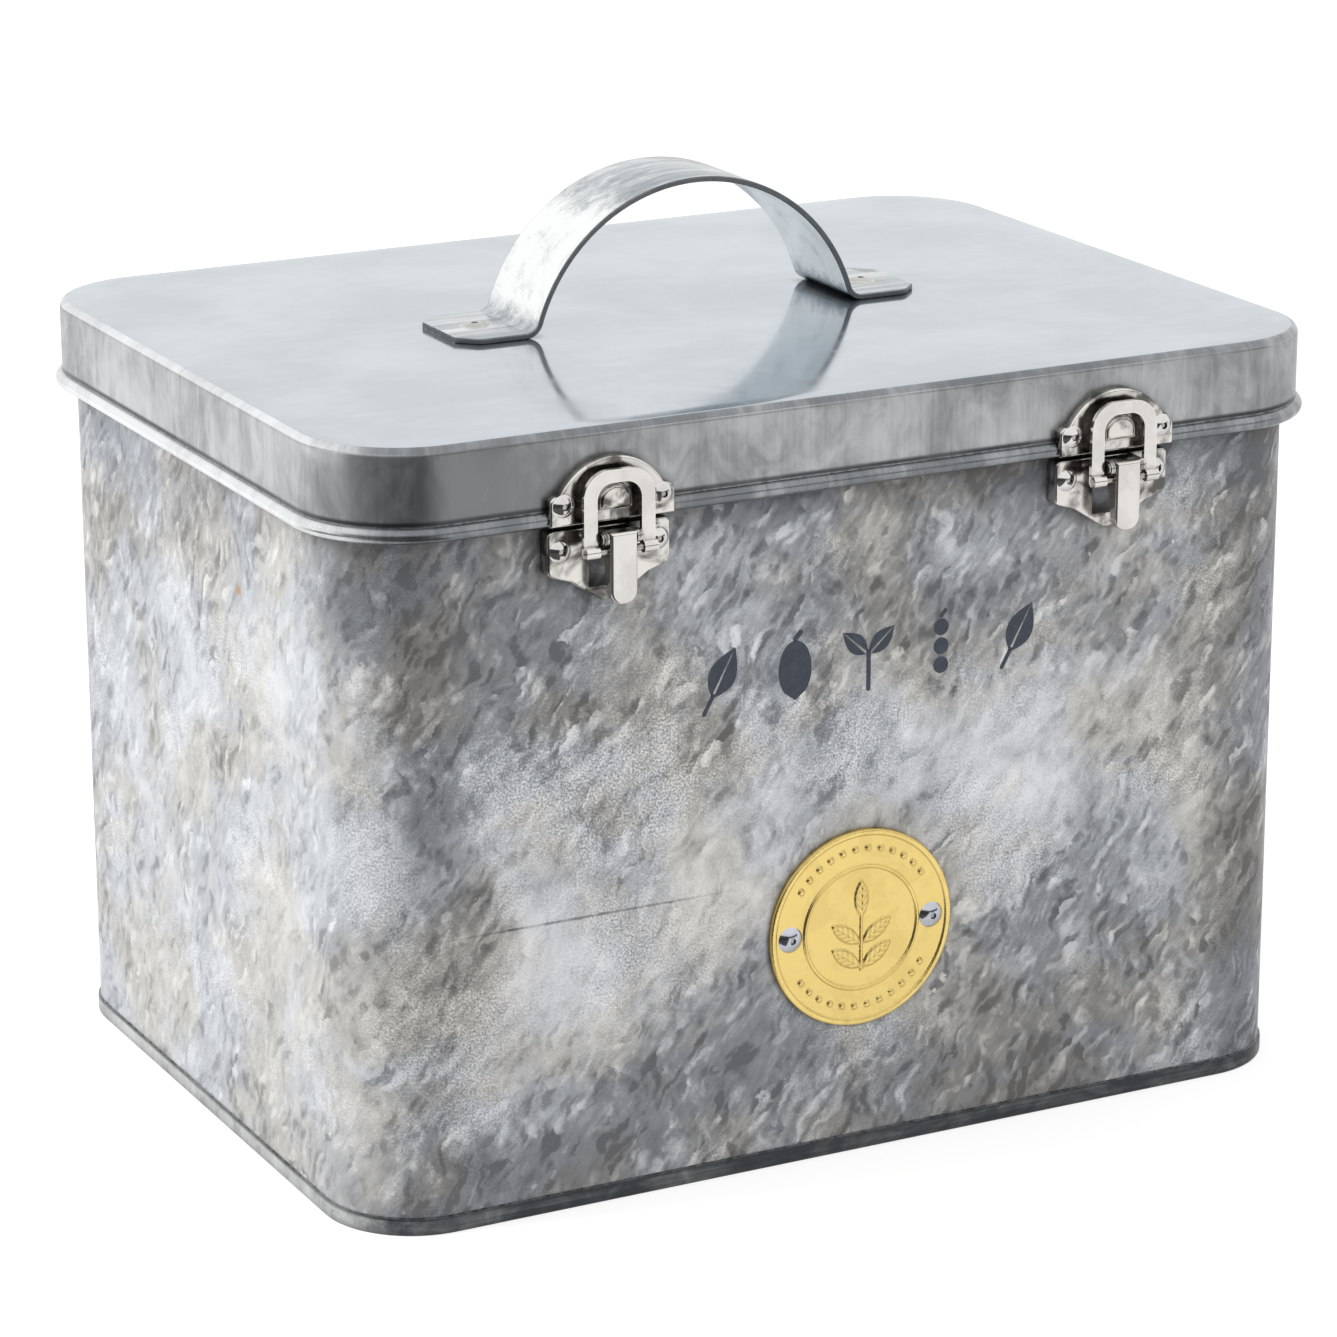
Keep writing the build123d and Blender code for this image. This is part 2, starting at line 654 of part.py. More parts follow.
# ---------------------------------------------------------------- plaque
with BuildPart() as plaque:
    plaque_face = front_plane(plaque_x, plaque_front)
    with BuildSketch(front_plane(plaque_x, body_depth / 2)):
        with Locations((0, plaque_height)):
            Circle(plaque_radius)
    extrude(amount=plaque_sheet)
    with BuildSketch(plaque_face):
        with Locations((0, plaque_height)):
            Circle(plaque_radius)
            Circle(plaque_radius - plaque_rim_width, mode=Mode.SUBTRACT)
            Circle(plaque_ring_radius + plaque_ring_width / 2)
            Circle(plaque_ring_radius - plaque_ring_width / 2, mode=Mode.SUBTRACT)
    extrude(amount=plaque_relief)
    fillet(plaque.faces().sort_by(Axis.Y)[0].edges(), plaque_relief / 2)
    # a sprig with two pairs of leaves and a leaf at its top, inside the ring
    sprig_foot = plaque_height - sprig_length / 2
    with BuildSketch(plaque_face):
        with Locations((0, sprig_foot)):
            Rectangle(sprig_width, sprig_length * sprig_stem_share, align=(Align.CENTER, Align.MIN))
        top_leaf_foot = sprig_foot + sprig_length * sprig_top_leaf_share
        leaf_places = [Location((0, top_leaf_foot, 0), (0, 0, quarter_turn))]
        for pair in range(2):
            leaf_z = sprig_foot + sprig_width + pair * leaf_pair_rise
            leaf_places.append(Location((0, leaf_z, 0), (0, 0, leaf_slope)))
            leaf_places.append(Location((0, leaf_z, 0), (0, 0, 2 * quarter_turn - leaf_slope)))
        leaf_bulge = leaf_width / 2
        for place in leaf_places:
            with BuildLine(place):
                ThreePointArc((0, 0), (leaf_length / 2, leaf_bulge), (leaf_length, 0))
                ThreePointArc((leaf_length, 0), (leaf_length / 2, -leaf_bulge), (0, 0))
            make_face()
    extrude(amount=plaque_relief)
    # raised dots above and below, between the rivets
    with BuildSketch(plaque_face):
        for arc_middle in (quarter_turn, 3 * quarter_turn):
            with Locations((0, plaque_height)):
                with PolarLocations(
                    plaque_bead_circle,
                    plaque_bead_count,
                    start_angle=arc_middle - plaque_bead_arc / 2,
                    angular_range=plaque_bead_arc,
                    endpoint=True,
                ):
                    Circle(plaque_bead_radius)
    extrude(amount=plaque_relief)
    with Locations(*plaque_rivet_places):
        Hole(rivet_hole_radius, depth=2 * plaque_sheet)
plaque.part.label = "plaque"
export_step(plaque.part, "parts/plaque.step")

plaque_rivet = make_rivet(plaque_head_radius, plaque_head_height, plaque_sheet + body_sheet)
with BuildPart() as plaque_rivets:
    with Locations(*plaque_rivet_places):
        add(plaque_rivet)
plaque_rivets.part.label = "plaque_rivets"
export_step(plaque_rivets.part, "parts/plaque_rivets.step")

# ---------------------------------------------------------------- hinges
knuckle_radius = hinge_pin_radius + pin_clearance + hinge_sheet
hinge_axis_y = lid_depth / 2 + rim_proud + hinge_rim_gap + knuckle_radius
hinge_axis_height = rim_middle_height
knuckle_middle_radius = knuckle_radius - hinge_sheet / 2
outer_knuckle = (hinge_width - hinge_middle_knuckle) / 2 - hinge_side_gap
outer_knuckle_middle = hinge_width / 2 - outer_knuckle / 2
hinge_lid_rivet = make_rivet(hinge_head_radius, hinge_head_height, hinge_sheet + lid_sheet)
hinge_body_rivet = make_rivet(hinge_head_radius, hinge_head_height, hinge_sheet + body_sheet)

for side, hinge_x in hinge_sides.items():
    # lid leaf: a plate on the back of the skirt and an arm over the rim to the middle knuckle
    lid_leaf_y = lid_depth / 2 + hinge_sheet / 2
    with BuildPart() as lid_leaf:
        with BuildSketch(back_plane(hinge_x, lid_depth / 2)) as lid_leaf_outline:
            with Locations((0, hinge_lid_leaf_bottom)):
                Rectangle(hinge_width, hinge_leaf_height, align=(Align.CENTER, Align.MIN))
            fillet(lid_leaf_outline.vertices().group_by(Axis.Y)[-1], hinge_leaf_rounding)
        extrude(amount=hinge_sheet)
        with BuildSketch(Plane.YZ.offset(hinge_x)):
            with BuildLine():
                Polyline(
                    (lid_leaf_y, hinge_lid_leaf_bottom + hinge_sheet),
                    (lid_leaf_y, hinge_lid_leaf_bottom),
                    (hinge_axis_y, hinge_axis_height + knuckle_middle_radius),
                )
            trace(line_width=hinge_sheet)
            with Locations((hinge_axis_y, hinge_axis_height)):
                Circle(knuckle_radius)
                Circle(hinge_pin_radius + pin_clearance, mode=Mode.SUBTRACT)
        extrude(amount=hinge_middle_knuckle / 2, both=True)
        with Locations(*hinge_lid_rivet_places(hinge_x)):
            Hole(rivet_hole_radius, depth=2 * hinge_sheet)
    lid_leaf.part.label = f"hinge_lid_leaf_{side}"
    export_step(lid_leaf.part, f"parts/hinge_lid_leaf_{side}.step")

    # body leaf: a plate on the back wall and two arms under the rim to the outer knuckles
    body_leaf_y = body_depth / 2 + hinge_sheet / 2
    with BuildPart() as body_leaf:
        with BuildSketch(back_plane(hinge_x, body_depth / 2)) as body_leaf_outline:
            with Locations((0, hinge_body_leaf_top)):
                Rectangle(hinge_width, hinge_leaf_height, align=(Align.CENTER, Align.MAX))
            fillet(body_leaf_outline.vertices().group_by(Axis.Y)[0], hinge_leaf_rounding)
        extrude(amount=hinge_sheet)
        for arm_side in (-1, 1):
            with BuildSketch(Plane.YZ.offset(hinge_x + arm_side * outer_knuckle_middle)):
                with BuildLine():
                    Polyline(
                        (body_leaf_y, hinge_body_leaf_top - hinge_sheet),
                        (body_leaf_y, hinge_body_leaf_top),
                        (hinge_axis_y, hinge_axis_height - knuckle_middle_radius),
                    )
                trace(line_width=hinge_sheet)
                with Locations((hinge_axis_y, hinge_axis_height)):
                    Circle(knuckle_radius)
                    Circle(hinge_pin_radius + pin_clearance, mode=Mode.SUBTRACT)
            extrude(amount=outer_knuckle / 2, both=True)
        with Locations(*hinge_body_rivet_places(hinge_x)):
            Hole(rivet_hole_radius, depth=2 * hinge_sheet)
    body_leaf.part.label = f"hinge_body_leaf_{side}"
    export_step(body_leaf.part, f"parts/hinge_body_leaf_{side}.step")

    with BuildPart() as hinge_pin:
        with BuildSketch(Plane.YZ.offset(hinge_x)):
            with Locations((hinge_axis_y, hinge_axis_height)):
                Circle(hinge_pin_radius)
        extrude(amount=hinge_width / 2 + hinge_sheet, both=True)
        pin_ends = hinge_pin.edges().group_by(Axis.X)
        fillet(pin_ends[0] + pin_ends[-1], hinge_sheet / 2)
    hinge_pin.part.label = f"hinge_pin_{side}"
    export_step(hinge_pin.part, f"parts/hinge_pin_{side}.step")

    with BuildPart() as hinge_lid_rivets:
        with Locations(*hinge_lid_rivet_places(hinge_x)):
            add(hinge_lid_rivet)
    hinge_lid_rivets.part.label = f"hinge_lid_rivets_{side}"
    export_step(hinge_lid_rivets.part, f"parts/hinge_lid_rivets_{side}.step")

    with BuildPart() as hinge_body_rivets:
        with Locations(*hinge_body_rivet_places(hinge_x)):
            add(hinge_body_rivet)
    hinge_body_rivets.part.label = f"hinge_body_rivets_{side}"
    export_step(hinge_body_rivets.part, f"parts/hinge_body_rivets_{side}.step")

# ---------------------------------------------------------------- partition
# An upright sheet from front to back that stands on the pan's floor, with a flange at each end.
inside_width = body_width - 2 * body_sheet
inside_depth = body_depth - 2 * body_sheet
partition_length = inside_depth - 2 * (pan_sheet + partition_end_gap)
with BuildPart() as partition:
    with BuildSketch(Plane.XY.offset(pan_floor_top)):
        Rectangle(partition_sheet, partition_length)
        for end in (-1, 1):
            with Locations((-partition_sheet / 2, end * (partition_length - partition_sheet) / 2)):
                Rectangle(partition_flange, partition_sheet, align=(Align.MIN, Align.CENTER))
    extrude(amount=partition_height)
partition.part.label = "partition"
export_step(partition.part, "parts/partition.step")

# ---------------------------------------------------------------- index cards
# Two rows of upright cards on the pan's floor, one row on each side of the partition.
bay_width = (inside_width - partition_sheet) / 2
card_width = bay_width - 2 * card_side_gap
straight_depth = inside_depth - 2 * (body_corner_radius - body_sheet)
card_pitch = straight_depth / (cards_per_row - 1) - card_side_gap
tab_steps = cards_per_row // 2
for number in range(card_rows * cards_per_row):
    row, place_in_row = divmod(number, cards_per_row)
    card_x = (2 * row - 1) * (partition_sheet + bay_width) / 2
    card_y = (place_in_row - (cards_per_row - 1) / 2) * card_pitch
    tab_x = (place_in_row % tab_steps - (tab_steps - 1) / 2) * (card_width - tab_width) / tab_steps
    with BuildPart() as card:
        with BuildSketch(Plane.XZ.offset(-card_y)) as card_outline:
            with Locations((card_x, pan_floor_top)):
                Rectangle(card_width, card_height, align=(Align.CENTER, Align.MIN))
            fillet(card_outline.vertices().group_by(Axis.Y)[-1], card_corner_rounding)
        extrude(amount=card_sheet / 2, both=True)
        with BuildSketch(Plane.XZ.offset(-card_y)) as tab_outline:
            with Locations((card_x + tab_x, pan_floor_top + card_height - card_corner_rounding)):
                Rectangle(
                    tab_width, tab_height + card_corner_rounding, align=(Align.CENTER, Align.MIN)
                )
            fillet(tab_outline.vertices().group_by(Axis.Y)[-1], tab_rounding)
        extrude(amount=card_sheet / 2, both=True)
    card.part.label = f"index_card_{number + 1:02d}"
    export_step(card.part, f"parts/index_card_{number + 1:02d}.step")
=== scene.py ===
"""Looks of the garden seed organizer box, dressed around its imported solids.

Lengths are in metres in the part's own frame: X runs along the front, the front faces -Y and Z is
up. Sizes are written in millimetres through mm(), and each sub-assembly holds its own.
"""

import logging
import math
from dataclasses import dataclass
from enum import Enum
from typing import Callable, Iterable, Sequence, Union

import bpy
from mathutils import Matrix, Vector


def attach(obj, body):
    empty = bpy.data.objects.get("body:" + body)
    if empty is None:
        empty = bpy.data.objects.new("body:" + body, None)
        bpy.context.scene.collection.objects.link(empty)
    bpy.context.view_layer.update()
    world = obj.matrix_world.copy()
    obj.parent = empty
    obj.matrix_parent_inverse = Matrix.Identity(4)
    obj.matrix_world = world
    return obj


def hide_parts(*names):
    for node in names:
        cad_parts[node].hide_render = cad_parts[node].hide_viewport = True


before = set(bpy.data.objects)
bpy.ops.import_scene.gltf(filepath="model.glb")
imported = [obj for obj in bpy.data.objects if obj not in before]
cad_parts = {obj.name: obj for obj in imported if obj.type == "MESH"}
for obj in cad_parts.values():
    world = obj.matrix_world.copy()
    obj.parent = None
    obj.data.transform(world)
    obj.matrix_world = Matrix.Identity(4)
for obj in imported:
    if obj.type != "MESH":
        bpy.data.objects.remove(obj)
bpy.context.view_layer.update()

LOG = logging.getLogger("seed_box")
Colour = tuple[float, float, float, float]
Feed = Union[bpy.types.NodeSocket, float, Sequence[float]]
Point2 = tuple[float, float]


def mm(*values: float) -> Union[float, tuple[float, ...]]:
    """Turns millimetres into metres.

    Args:
        values: One length or several, in millimetres.

    Returns:
        The length in metres, or a tuple of them.
    """
    metres = tuple(value / 1000 for value in values)
    return metres[0] if len(metres) == 1 else metres


def tone(red: float, green: float, blue: float) -> Colour:
    """Turns a screen colour into the linear colour that shaders take.

    Args:
        red: Red, 0 to 255.
        green: Green, 0 to 255.
        blue: Blue, 0 to 255.

    Returns:
        The linear colour, with alpha 1.
    """

    def linear(value: float) -> float:
        """Turns one channel, 0 to 255, into its linear share."""
        share = value / 255
        return share / 12.92 if share <= 0.04045 else ((share + 0.055) / 1.055) ** 2.4

    return (linear(red), linear(green), linear(blue), 1.0)


def in_scene(name: str, data: bpy.types.ID) -> bpy.types.Object:
    """Makes an object and links it to the scene.

    Args:
        name: The object's name.
        data: Its mesh, light or camera.

    Returns:
        The object.
    """
    made = bpy.data.objects.new(name, data)
    bpy.context.scene.collection.objects.link(made)
    return made


# ------------------------------------------------------------------ shader nodes


class Desk:
    """Places and links the nodes of one node tree."""

    def __init__(self, tree: bpy.types.NodeTree) -> None:
        """Takes over a node tree.

        Args:
            tree: The tree of a material, the world or a node group.
        """
        self.tree = tree

    @classmethod
    def emptied(cls, owner: Union[bpy.types.Material, bpy.types.World]) -> "Desk":
        """Switches an owner's nodes on and clears them away.

        Args:
            owner: The material or the world.

        Returns:
            The desk of its empty tree.
        """
        owner.use_nodes = True
        owner.node_tree.nodes.clear()
        return cls(owner.node_tree)

    def node(self, kind: str, **settings: object) -> bpy.types.Node:
        """Places a node.

        Args:
            kind: The node's type name.
            settings: Its properties.

        Returns:
            The new node.
        """
        made = self.tree.nodes.new(kind)
        for name, value in settings.items():
            setattr(made, name, value)
        return made

    def feed(self, socket: bpy.types.NodeSocket, value: Feed) -> None:
        """Links an output to a socket, or sets the socket's own value.

        Args:
            socket: The input socket.
            value: An output socket or a constant.
        """
        if isinstance(value, bpy.types.NodeSocket):
            self.tree.links.new(value, socket)
        else:
            socket.default_value = value

    def math(
        self, operation: str, first: Feed, second: Feed = 0.0, clamp: bool = False
    ) -> bpy.types.NodeSocket:
        """Works out one number.

        Args:
            operation: The Math node's operation.
            first: The first number.
            second: The second number.
            clamp: Whether the result stays between 0 and 1.

        Returns:
            The result's socket.
        """
        made = self.node("ShaderNodeMath", operation=operation, use_clamp=clamp)
        self.feed(made.inputs[0], first)
        self.feed(made.inputs[1], second)
        return made.outputs[0]

    def vector(self, operation: str, first: Feed, second: Feed) -> bpy.types.NodeSocket:
        """Works out one vector.

        Args:
            operation: The Vector Math node's operation.
            first: The first vector.
            second: The second vector, or the factor of a SCALE.

        Returns:
            The result's socket.
        """
        made = self.node("ShaderNodeVectorMath", operation=operation)
        self.feed(made.inputs[0], first)
        self.feed(made.inputs["Scale" if operation == "SCALE" else 1], second)
        return made.outputs[0]

    def axis(self, point: Feed, number: int) -> bpy.types.NodeSocket:
        """Picks one coordinate out of a point.

        Args:
            point: The point.
            number: 0 for X, 1 for Y and 2 for Z.

        Returns:
            The coordinate's socket.
        """
        split = self.node("ShaderNodeSeparateXYZ")
        self.feed(split.inputs[0], point)
        return split.outputs[number]

    def blend(self, share: Feed, first: Feed, second: Feed) -> bpy.types.NodeSocket:
        """Mixes two colours.

        Args:
            share: How much of the second colour, 0 to 1.
            first: The first colour.
            second: The second colour.

        Returns:
            The mixed colour's socket.
        """
        made = self.node("ShaderNodeMix", data_type="RGBA")
        self.feed(made.inputs[0], share)
        self.feed(made.inputs[6], first)
        self.feed(made.inputs[7], second)
        return made.outputs[2]

    def spread(
        self, value: Feed, low: float, high: float, to_low: float = 0.0, to_high: float = 1.0
    ) -> bpy.types.NodeSocket:
        """Spreads a range of numbers softly over another range.

        Args:
            value: The number.
            low: Where the range starts.
            high: Where the range ends.
            to_low: What the start becomes.
            to_high: What the end becomes.

        Returns:
            The new number's socket.
        """
        made = self.node("ShaderNodeMapRange", interpolation_type="SMOOTHSTEP")
        self.feed(made.inputs["Value"], value)
        made.inputs["From Min"].default_value = low
        made.inputs["From Max"].default_value = high
        made.inputs["To Min"].default_value = to_low
        made.inputs["To Max"].default_value = to_high
        return made.outputs[0]

    def noise(
        self, where: Feed, scale: float, detail: float = 3.0, rough: float = 0.5, warp: float = 0.0
    ) -> bpy.types.NodeSocket:
        """Places a noise texture.

        Args:
            where: The point.
            scale: Waves per metre.
            detail: How many finer layers it has.
            rough: How strong the finer layers are.
            warp: Distortion.

        Returns:
            The value's socket, about 0 to 1.
        """
        made = self.node("ShaderNodeTexNoise", noise_dimensions="3D")
        self.feed(made.inputs["Vector"], where)
        made.inputs["Scale"].default_value = scale
        made.inputs["Detail"].default_value = detail
        made.inputs["Roughness"].default_value = rough
        made.inputs["Distortion"].default_value = warp
        return made.outputs[0]

    def stretched(
        self, where: Feed, scale: Sequence[float], turn: Sequence[float] = (0.0, 0.0, 0.0),
        shift: Sequence[float] = (0.0, 0.0, 0.0)
    ) -> bpy.types.NodeSocket:
        """Turns and moves a point, and then stretches it along the axes.

        Args:
            where: The point.
            scale: Factors along X, Y and Z.
            turn: Turn about X, Y and Z, in degrees.
            shift: Move after the turn.

        Returns:
            The new point's socket.
        """
        turned = self.node("ShaderNodeMapping")
        self.feed(turned.inputs["Vector"], where)
        turned.inputs["Location"].default_value = shift
        turned.inputs["Rotation"].default_value = [math.radians(angle) for angle in turn]
        return self.vector("MULTIPLY", turned.outputs[0], scale)

    def height(self, point: Feed, rolled_out: bool = False) -> bpy.types.NodeSocket:
        """Picks the height out of a point.

        Args:
            point: The point.
            rolled_out: Whether it lies on the rolled-out wall, where Y is the height.

        Returns:
            The height's socket.
        """
        return self.axis(point, 1 if rolled_out else 2)

    def ramp(self, value: Feed, stops: Sequence[tuple[float, Colour]]) -> bpy.types.NodeSocket:
        """Turns a number into a colour.

        Args:
            value: The number, 0 to 1.
            stops: Places and their colours.

        Returns:
            The colour's socket.
        """
        made = self.node("ShaderNodeValToRGB")
        elements = made.color_ramp.elements
        while len(elements) < len(stops):
            elements.new(0.5)
        for element, (place, colour) in zip(elements, stops):
            element.position = place
            element.color = colour
        self.feed(made.inputs[0], value)
        return made.outputs[0]

    def effect(self, group: bpy.types.NodeTree, **inputs: Feed) -> bpy.types.Node:
        """Places a shared effect with this material's own values.

        Args:
            group: The effect's node group.
            inputs: Its inputs, by name, with underscores for spaces.

        Returns:
            The group node.
        """
        made = self.node("ShaderNodeGroup")
        made.node_tree = group
        for name, value in inputs.items():
            self.feed(made.inputs[name.replace("_", " ")], value)
        return made


class Socket(Enum):
    """Kinds of socket that an effect has."""

    NUMBER = "NodeSocketFloat"
    POINT = "NodeSocketVector"


@dataclass(frozen=True)
class Effect:
    """A shader node group that several finishes share.

    Attributes:
        name: The group's name.
        inputs: Names and kinds of its inputs.
        outputs: Names and kinds of its outputs.
        wire: Places the nodes, from the group's inlet to its outlet.
    """

    name: str
    inputs: Sequence[tuple[str, Socket]]
    outputs: Sequence[tuple[str, Socket]]
    wire: Callable[[Desk, bpy.types.Node, bpy.types.Node], None]

    def group(self) -> bpy.types.NodeTree:
        """Returns the node group, and builds it the first time."""
        found = bpy.data.node_groups.get(self.name)
        if found is not None:
            return found
        tree = bpy.data.node_groups.new(self.name, "ShaderNodeTree")
        for name, kind in self.inputs:
            tree.interface.new_socket(name=name, in_out="INPUT", socket_type=kind.value)
        for name, kind in self.outputs:
            tree.interface.new_socket(name=name, in_out="OUTPUT", socket_type=kind.value)
        desk = Desk(tree)
        self.wire(desk, desk.node("NodeGroupInput"), desk.node("NodeGroupOutput"))
        return tree


def wire_patina(desk: Desk, inlet: bpy.types.Node, outlet: bpy.types.Node) -> None:
    """Wires the clouds, flakes and specks of weathered galvanising.

    Args:
        desk: The group's desk.
        inlet: Gives Point, in metres on the sheet.
        outlet: Takes Cloud, Warmth, Stroke, Speck and Height.
    """
    point = inlet.outputs["Point"]
    bend = desk.node("ShaderNodeTexNoise")
    desk.feed(bend.inputs["Vector"], point)
    bend.inputs["Scale"].default_value = 75.0
    bend.inputs["Detail"].default_value = 2.0
    centred = desk.vector("SUBTRACT", bend.outputs["Color"], (0.5, 0.5, 0.5))
    shrunk = desk.vector("SCALE", centred, 0.011)
    ragged = desk.node("ShaderNodeTexNoise")
    desk.feed(ragged.inputs["Vector"], point)
    ragged.inputs["Scale"].default_value = 520.0
    ragged.inputs["Detail"].default_value = 2.0
    torn = desk.vector("SCALE", ragged.outputs["Color"], 0.0020)
    bent = desk.vector("ADD", desk.vector("ADD", point, shrunk), torn)
    flakes: list[bpy.types.NodeSocket] = []
    for across, along, turn in (
        (0.0026, 0.0090, 38.0), (0.0018, 0.0060, 20.0), (0.0030, 0.0095, -24.0)
    ):
        cells = desk.node("ShaderNodeTexVoronoi", feature="F1")
        size = (1 / across, 1 / along, 1 / across)
        desk.feed(cells.inputs["Vector"], desk.stretched(bent, size, (0.0, 0.0, turn)))
        cells.inputs["Scale"].default_value = 1.0
        body = desk.spread(cells.outputs["Distance"], 0.64, 0.20)
        split = desk.node("ShaderNodeSeparateColor")
        desk.feed(split.inputs[0], cells.outputs["Color"])
        pale = desk.spread(split.outputs[0], 0.35, 0.10, 0.0, 0.34)
        dark = desk.spread(split.outputs[0], 0.52, 0.88, 0.0, 0.46)
        lean = desk.math("SUBTRACT", pale, dark)
        flakes.append(desk.math("MULTIPLY", lean, body))
    where = desk.spread(
        desk.noise(desk.stretched(point, (1, 1, 1), shift=(3, 1, 0)), 34, 2), 0.35, 0.65
    )
    pair = desk.math("ADD", flakes[0], desk.math("MULTIPLY", flakes[1], 0.6))
    laid = desk.math(
        "ADD", pair, desk.math("MULTIPLY", flakes[2], desk.math("MULTIPLY", where, 0.7))
    )
    brushed = desk.noise(desk.stretched(point, (1, 0.24, 1), (0, 0, 38)), 640, 3, 0.6, 0.3)
    stroke = desk.math(
        "ADD", laid, desk.math("MULTIPLY", desk.math("SUBTRACT", brushed, 0.5), 0.55)
    )
    cloud = desk.noise(point, 22, 6, 0.6, 0.6)
    small = desk.noise(
        desk.stretched(point, (1, 0.75, 1), (0, 0, 38), (0, 5, 2)), 135, 5, 0.65, 0.8
    )
    mixed = desk.math("ADD", desk.math("MULTIPLY", cloud, 0.62), desk.math("MULTIPLY", small, 0.38))
    grit = desk.noise(point, 2100, 1, 0.6)
    sown = desk.spread(
        desk.noise(desk.stretched(point, (1, 1, 1), shift=(7, 2, 4)), 26, 3), 0.42, 0.66
    )
    speck = desk.math("MULTIPLY", desk.math("SUBTRACT", grit, 0.5), desk.math("ADD", sown, 0.25))
    warmth = desk.noise(desk.stretched(point, (1, 1, 1), shift=(1, 9, 3)), 30, 4, 0.6, 0.5)
    height = desk.math("ADD", desk.math("MULTIPLY", stroke, 0.7), small)
    for name, value in (
        ("Cloud", mixed), ("Warmth", warmth), ("Stroke", stroke), ("Speck", speck),
        ("Height", height)
    ):
        desk.feed(outlet.inputs[name], value)


def wire_streaks(desk: Desk, inlet: bpy.types.Node, outlet: bpy.types.Node) -> None:
    """Wires fine rolling marks that run along Z of the point.

    Args:
        desk: The group's desk.
        inlet: Gives Point, already turned so that the marks run along Z.
        outlet: Takes Streak.
    """
    point = inlet.outputs["Point"]
    broad = desk.noise(desk.stretched(point, (1, 1, 0.06)), 260, 4, 0.6)
    thin = desk.noise(desk.stretched(point, (1, 1, 0.02), shift=(2, 1, 0)), 1500, 3, 0.7)
    joined = desk.math("ADD", desk.math("MULTIPLY", broad, 0.6), desk.math("MULTIPLY", thin, 0.4))
    desk.feed(outlet.inputs["Streak"], joined)


def wire_edge_mask(desk: Desk, inlet: bpy.types.Node, outlet: bpy.types.Node) -> None:
    """Wires a mask of edges, broken up by noise.

    Args:
        desk: The group's desk.
        inlet: Gives Point.
        outlet: Takes Edge, 1 on an edge.
    """
    bevel = desk.node("ShaderNodeBevel", samples=4)
    bevel.inputs["Radius"].default_value = 0.0007
    shape = desk.node("ShaderNodeNewGeometry")
    aligned = desk.node("ShaderNodeVectorMath", operation="DOT_PRODUCT")
    desk.feed(aligned.inputs[0], bevel.outputs[0])
    desk.feed(aligned.inputs[1], shape.outputs["Normal"])
    turned = desk.spread(aligned.outputs["Value"], 0.995, 0.80)
    broken = desk.spread(desk.noise(inlet.outputs["Point"], 700, 3, 0.6), 0.34, 0.60)
    desk.feed(outlet.inputs["Edge"], desk.math("MULTIPLY", turned, broken))


def wire_recess(desk: Desk, inlet: bpy.types.Node, outlet: bpy.types.Node) -> None:
    """Wires a mask of painted shade in corners, with some tarnishing.

    Args:
        desk: The group's desk.
        inlet: Gives Point and Reach, in metres.
        outlet: Takes Corner, 1 deep in a corner.
    """
    shade = desk.node("ShaderNodeAmbientOcclusion", samples=6)
    desk.feed(shade.inputs["Distance"], inlet.outputs["Reach"])
    deep = desk.spread(shade.outputs["AO"], 0.92, 0.35)
    uneven = desk.noise(inlet.outputs["Point"], 420, 3, 0.6)
    desk.feed(
        outlet.inputs["Corner"], desk.math("MULTIPLY", deep, desk.math("ADD", uneven, 0.5), True)
    )


def wire_handling(desk: Desk, inlet: bpy.types.Node, outlet: bpy.types.Node) -> None:
    """Wires smudges from hands and fine scratches.

    Args:
        desk: The group's desk.
        inlet: Gives Point.
        outlet: Takes Smudge and Scratch.
    """
    point = inlet.outputs["Point"]
    smudge = desk.spread(desk.noise(point, 45, 4, 0.62, 1.2), 0.40, 0.70)
    crossed: list[bpy.types.NodeSocket] = []
    for turn, shift in ((24.0, 0.0), (-38.0, 4.0)):
        placed = desk.stretched(point, (420, 26, 420), (0, 0, turn), (shift, 0, 0))
        hair = desk.node("ShaderNodeTexVoronoi", feature="DISTANCE_TO_EDGE")
        desk.feed(hair.inputs["Vector"], placed)
        hair.inputs["Scale"].default_value = 1.0
        crossed.append(desk.spread(hair.outputs["Distance"], 0.03, 0.0))
    rare = desk.spread(desk.noise(point, 60, 2), 0.55, 0.75)
    scratch = desk.math("MULTIPLY", desk.math("MAXIMUM", crossed[0], crossed[1]), rare)
    desk.feed(outlet.inputs["Smudge"], smudge)
    desk.feed(outlet.inputs["Scratch"], scratch)


POINT_IN = (("Point", Socket.POINT),)
PATINA = Effect(
    "patina",
    POINT_IN,
    tuple((name, Socket.NUMBER) for name in ("Cloud", "Warmth", "Stroke", "Speck", "Height")),
    wire_patina,
)
STREAKS = Effect("rolling_streaks", POINT_IN, (("Streak", Socket.NUMBER),), wire_streaks)
EDGE_MASK = Effect("edge_mask", POINT_IN, (("Edge", Socket.NUMBER),), wire_edge_mask)
RECESS = Effect(
    "corner_shade_and_tarnish",
    (("Point", Socket.POINT), ("Reach", Socket.NUMBER)),
    (("Corner", Socket.NUMBER),),
    wire_recess,
)
HANDLING = Effect(
    "handling_marks", POINT_IN, (("Smudge", Socket.NUMBER), ("Scratch", Socket.NUMBER)),
    wire_handling
)


# ------------------------------------------------------------------ finishes


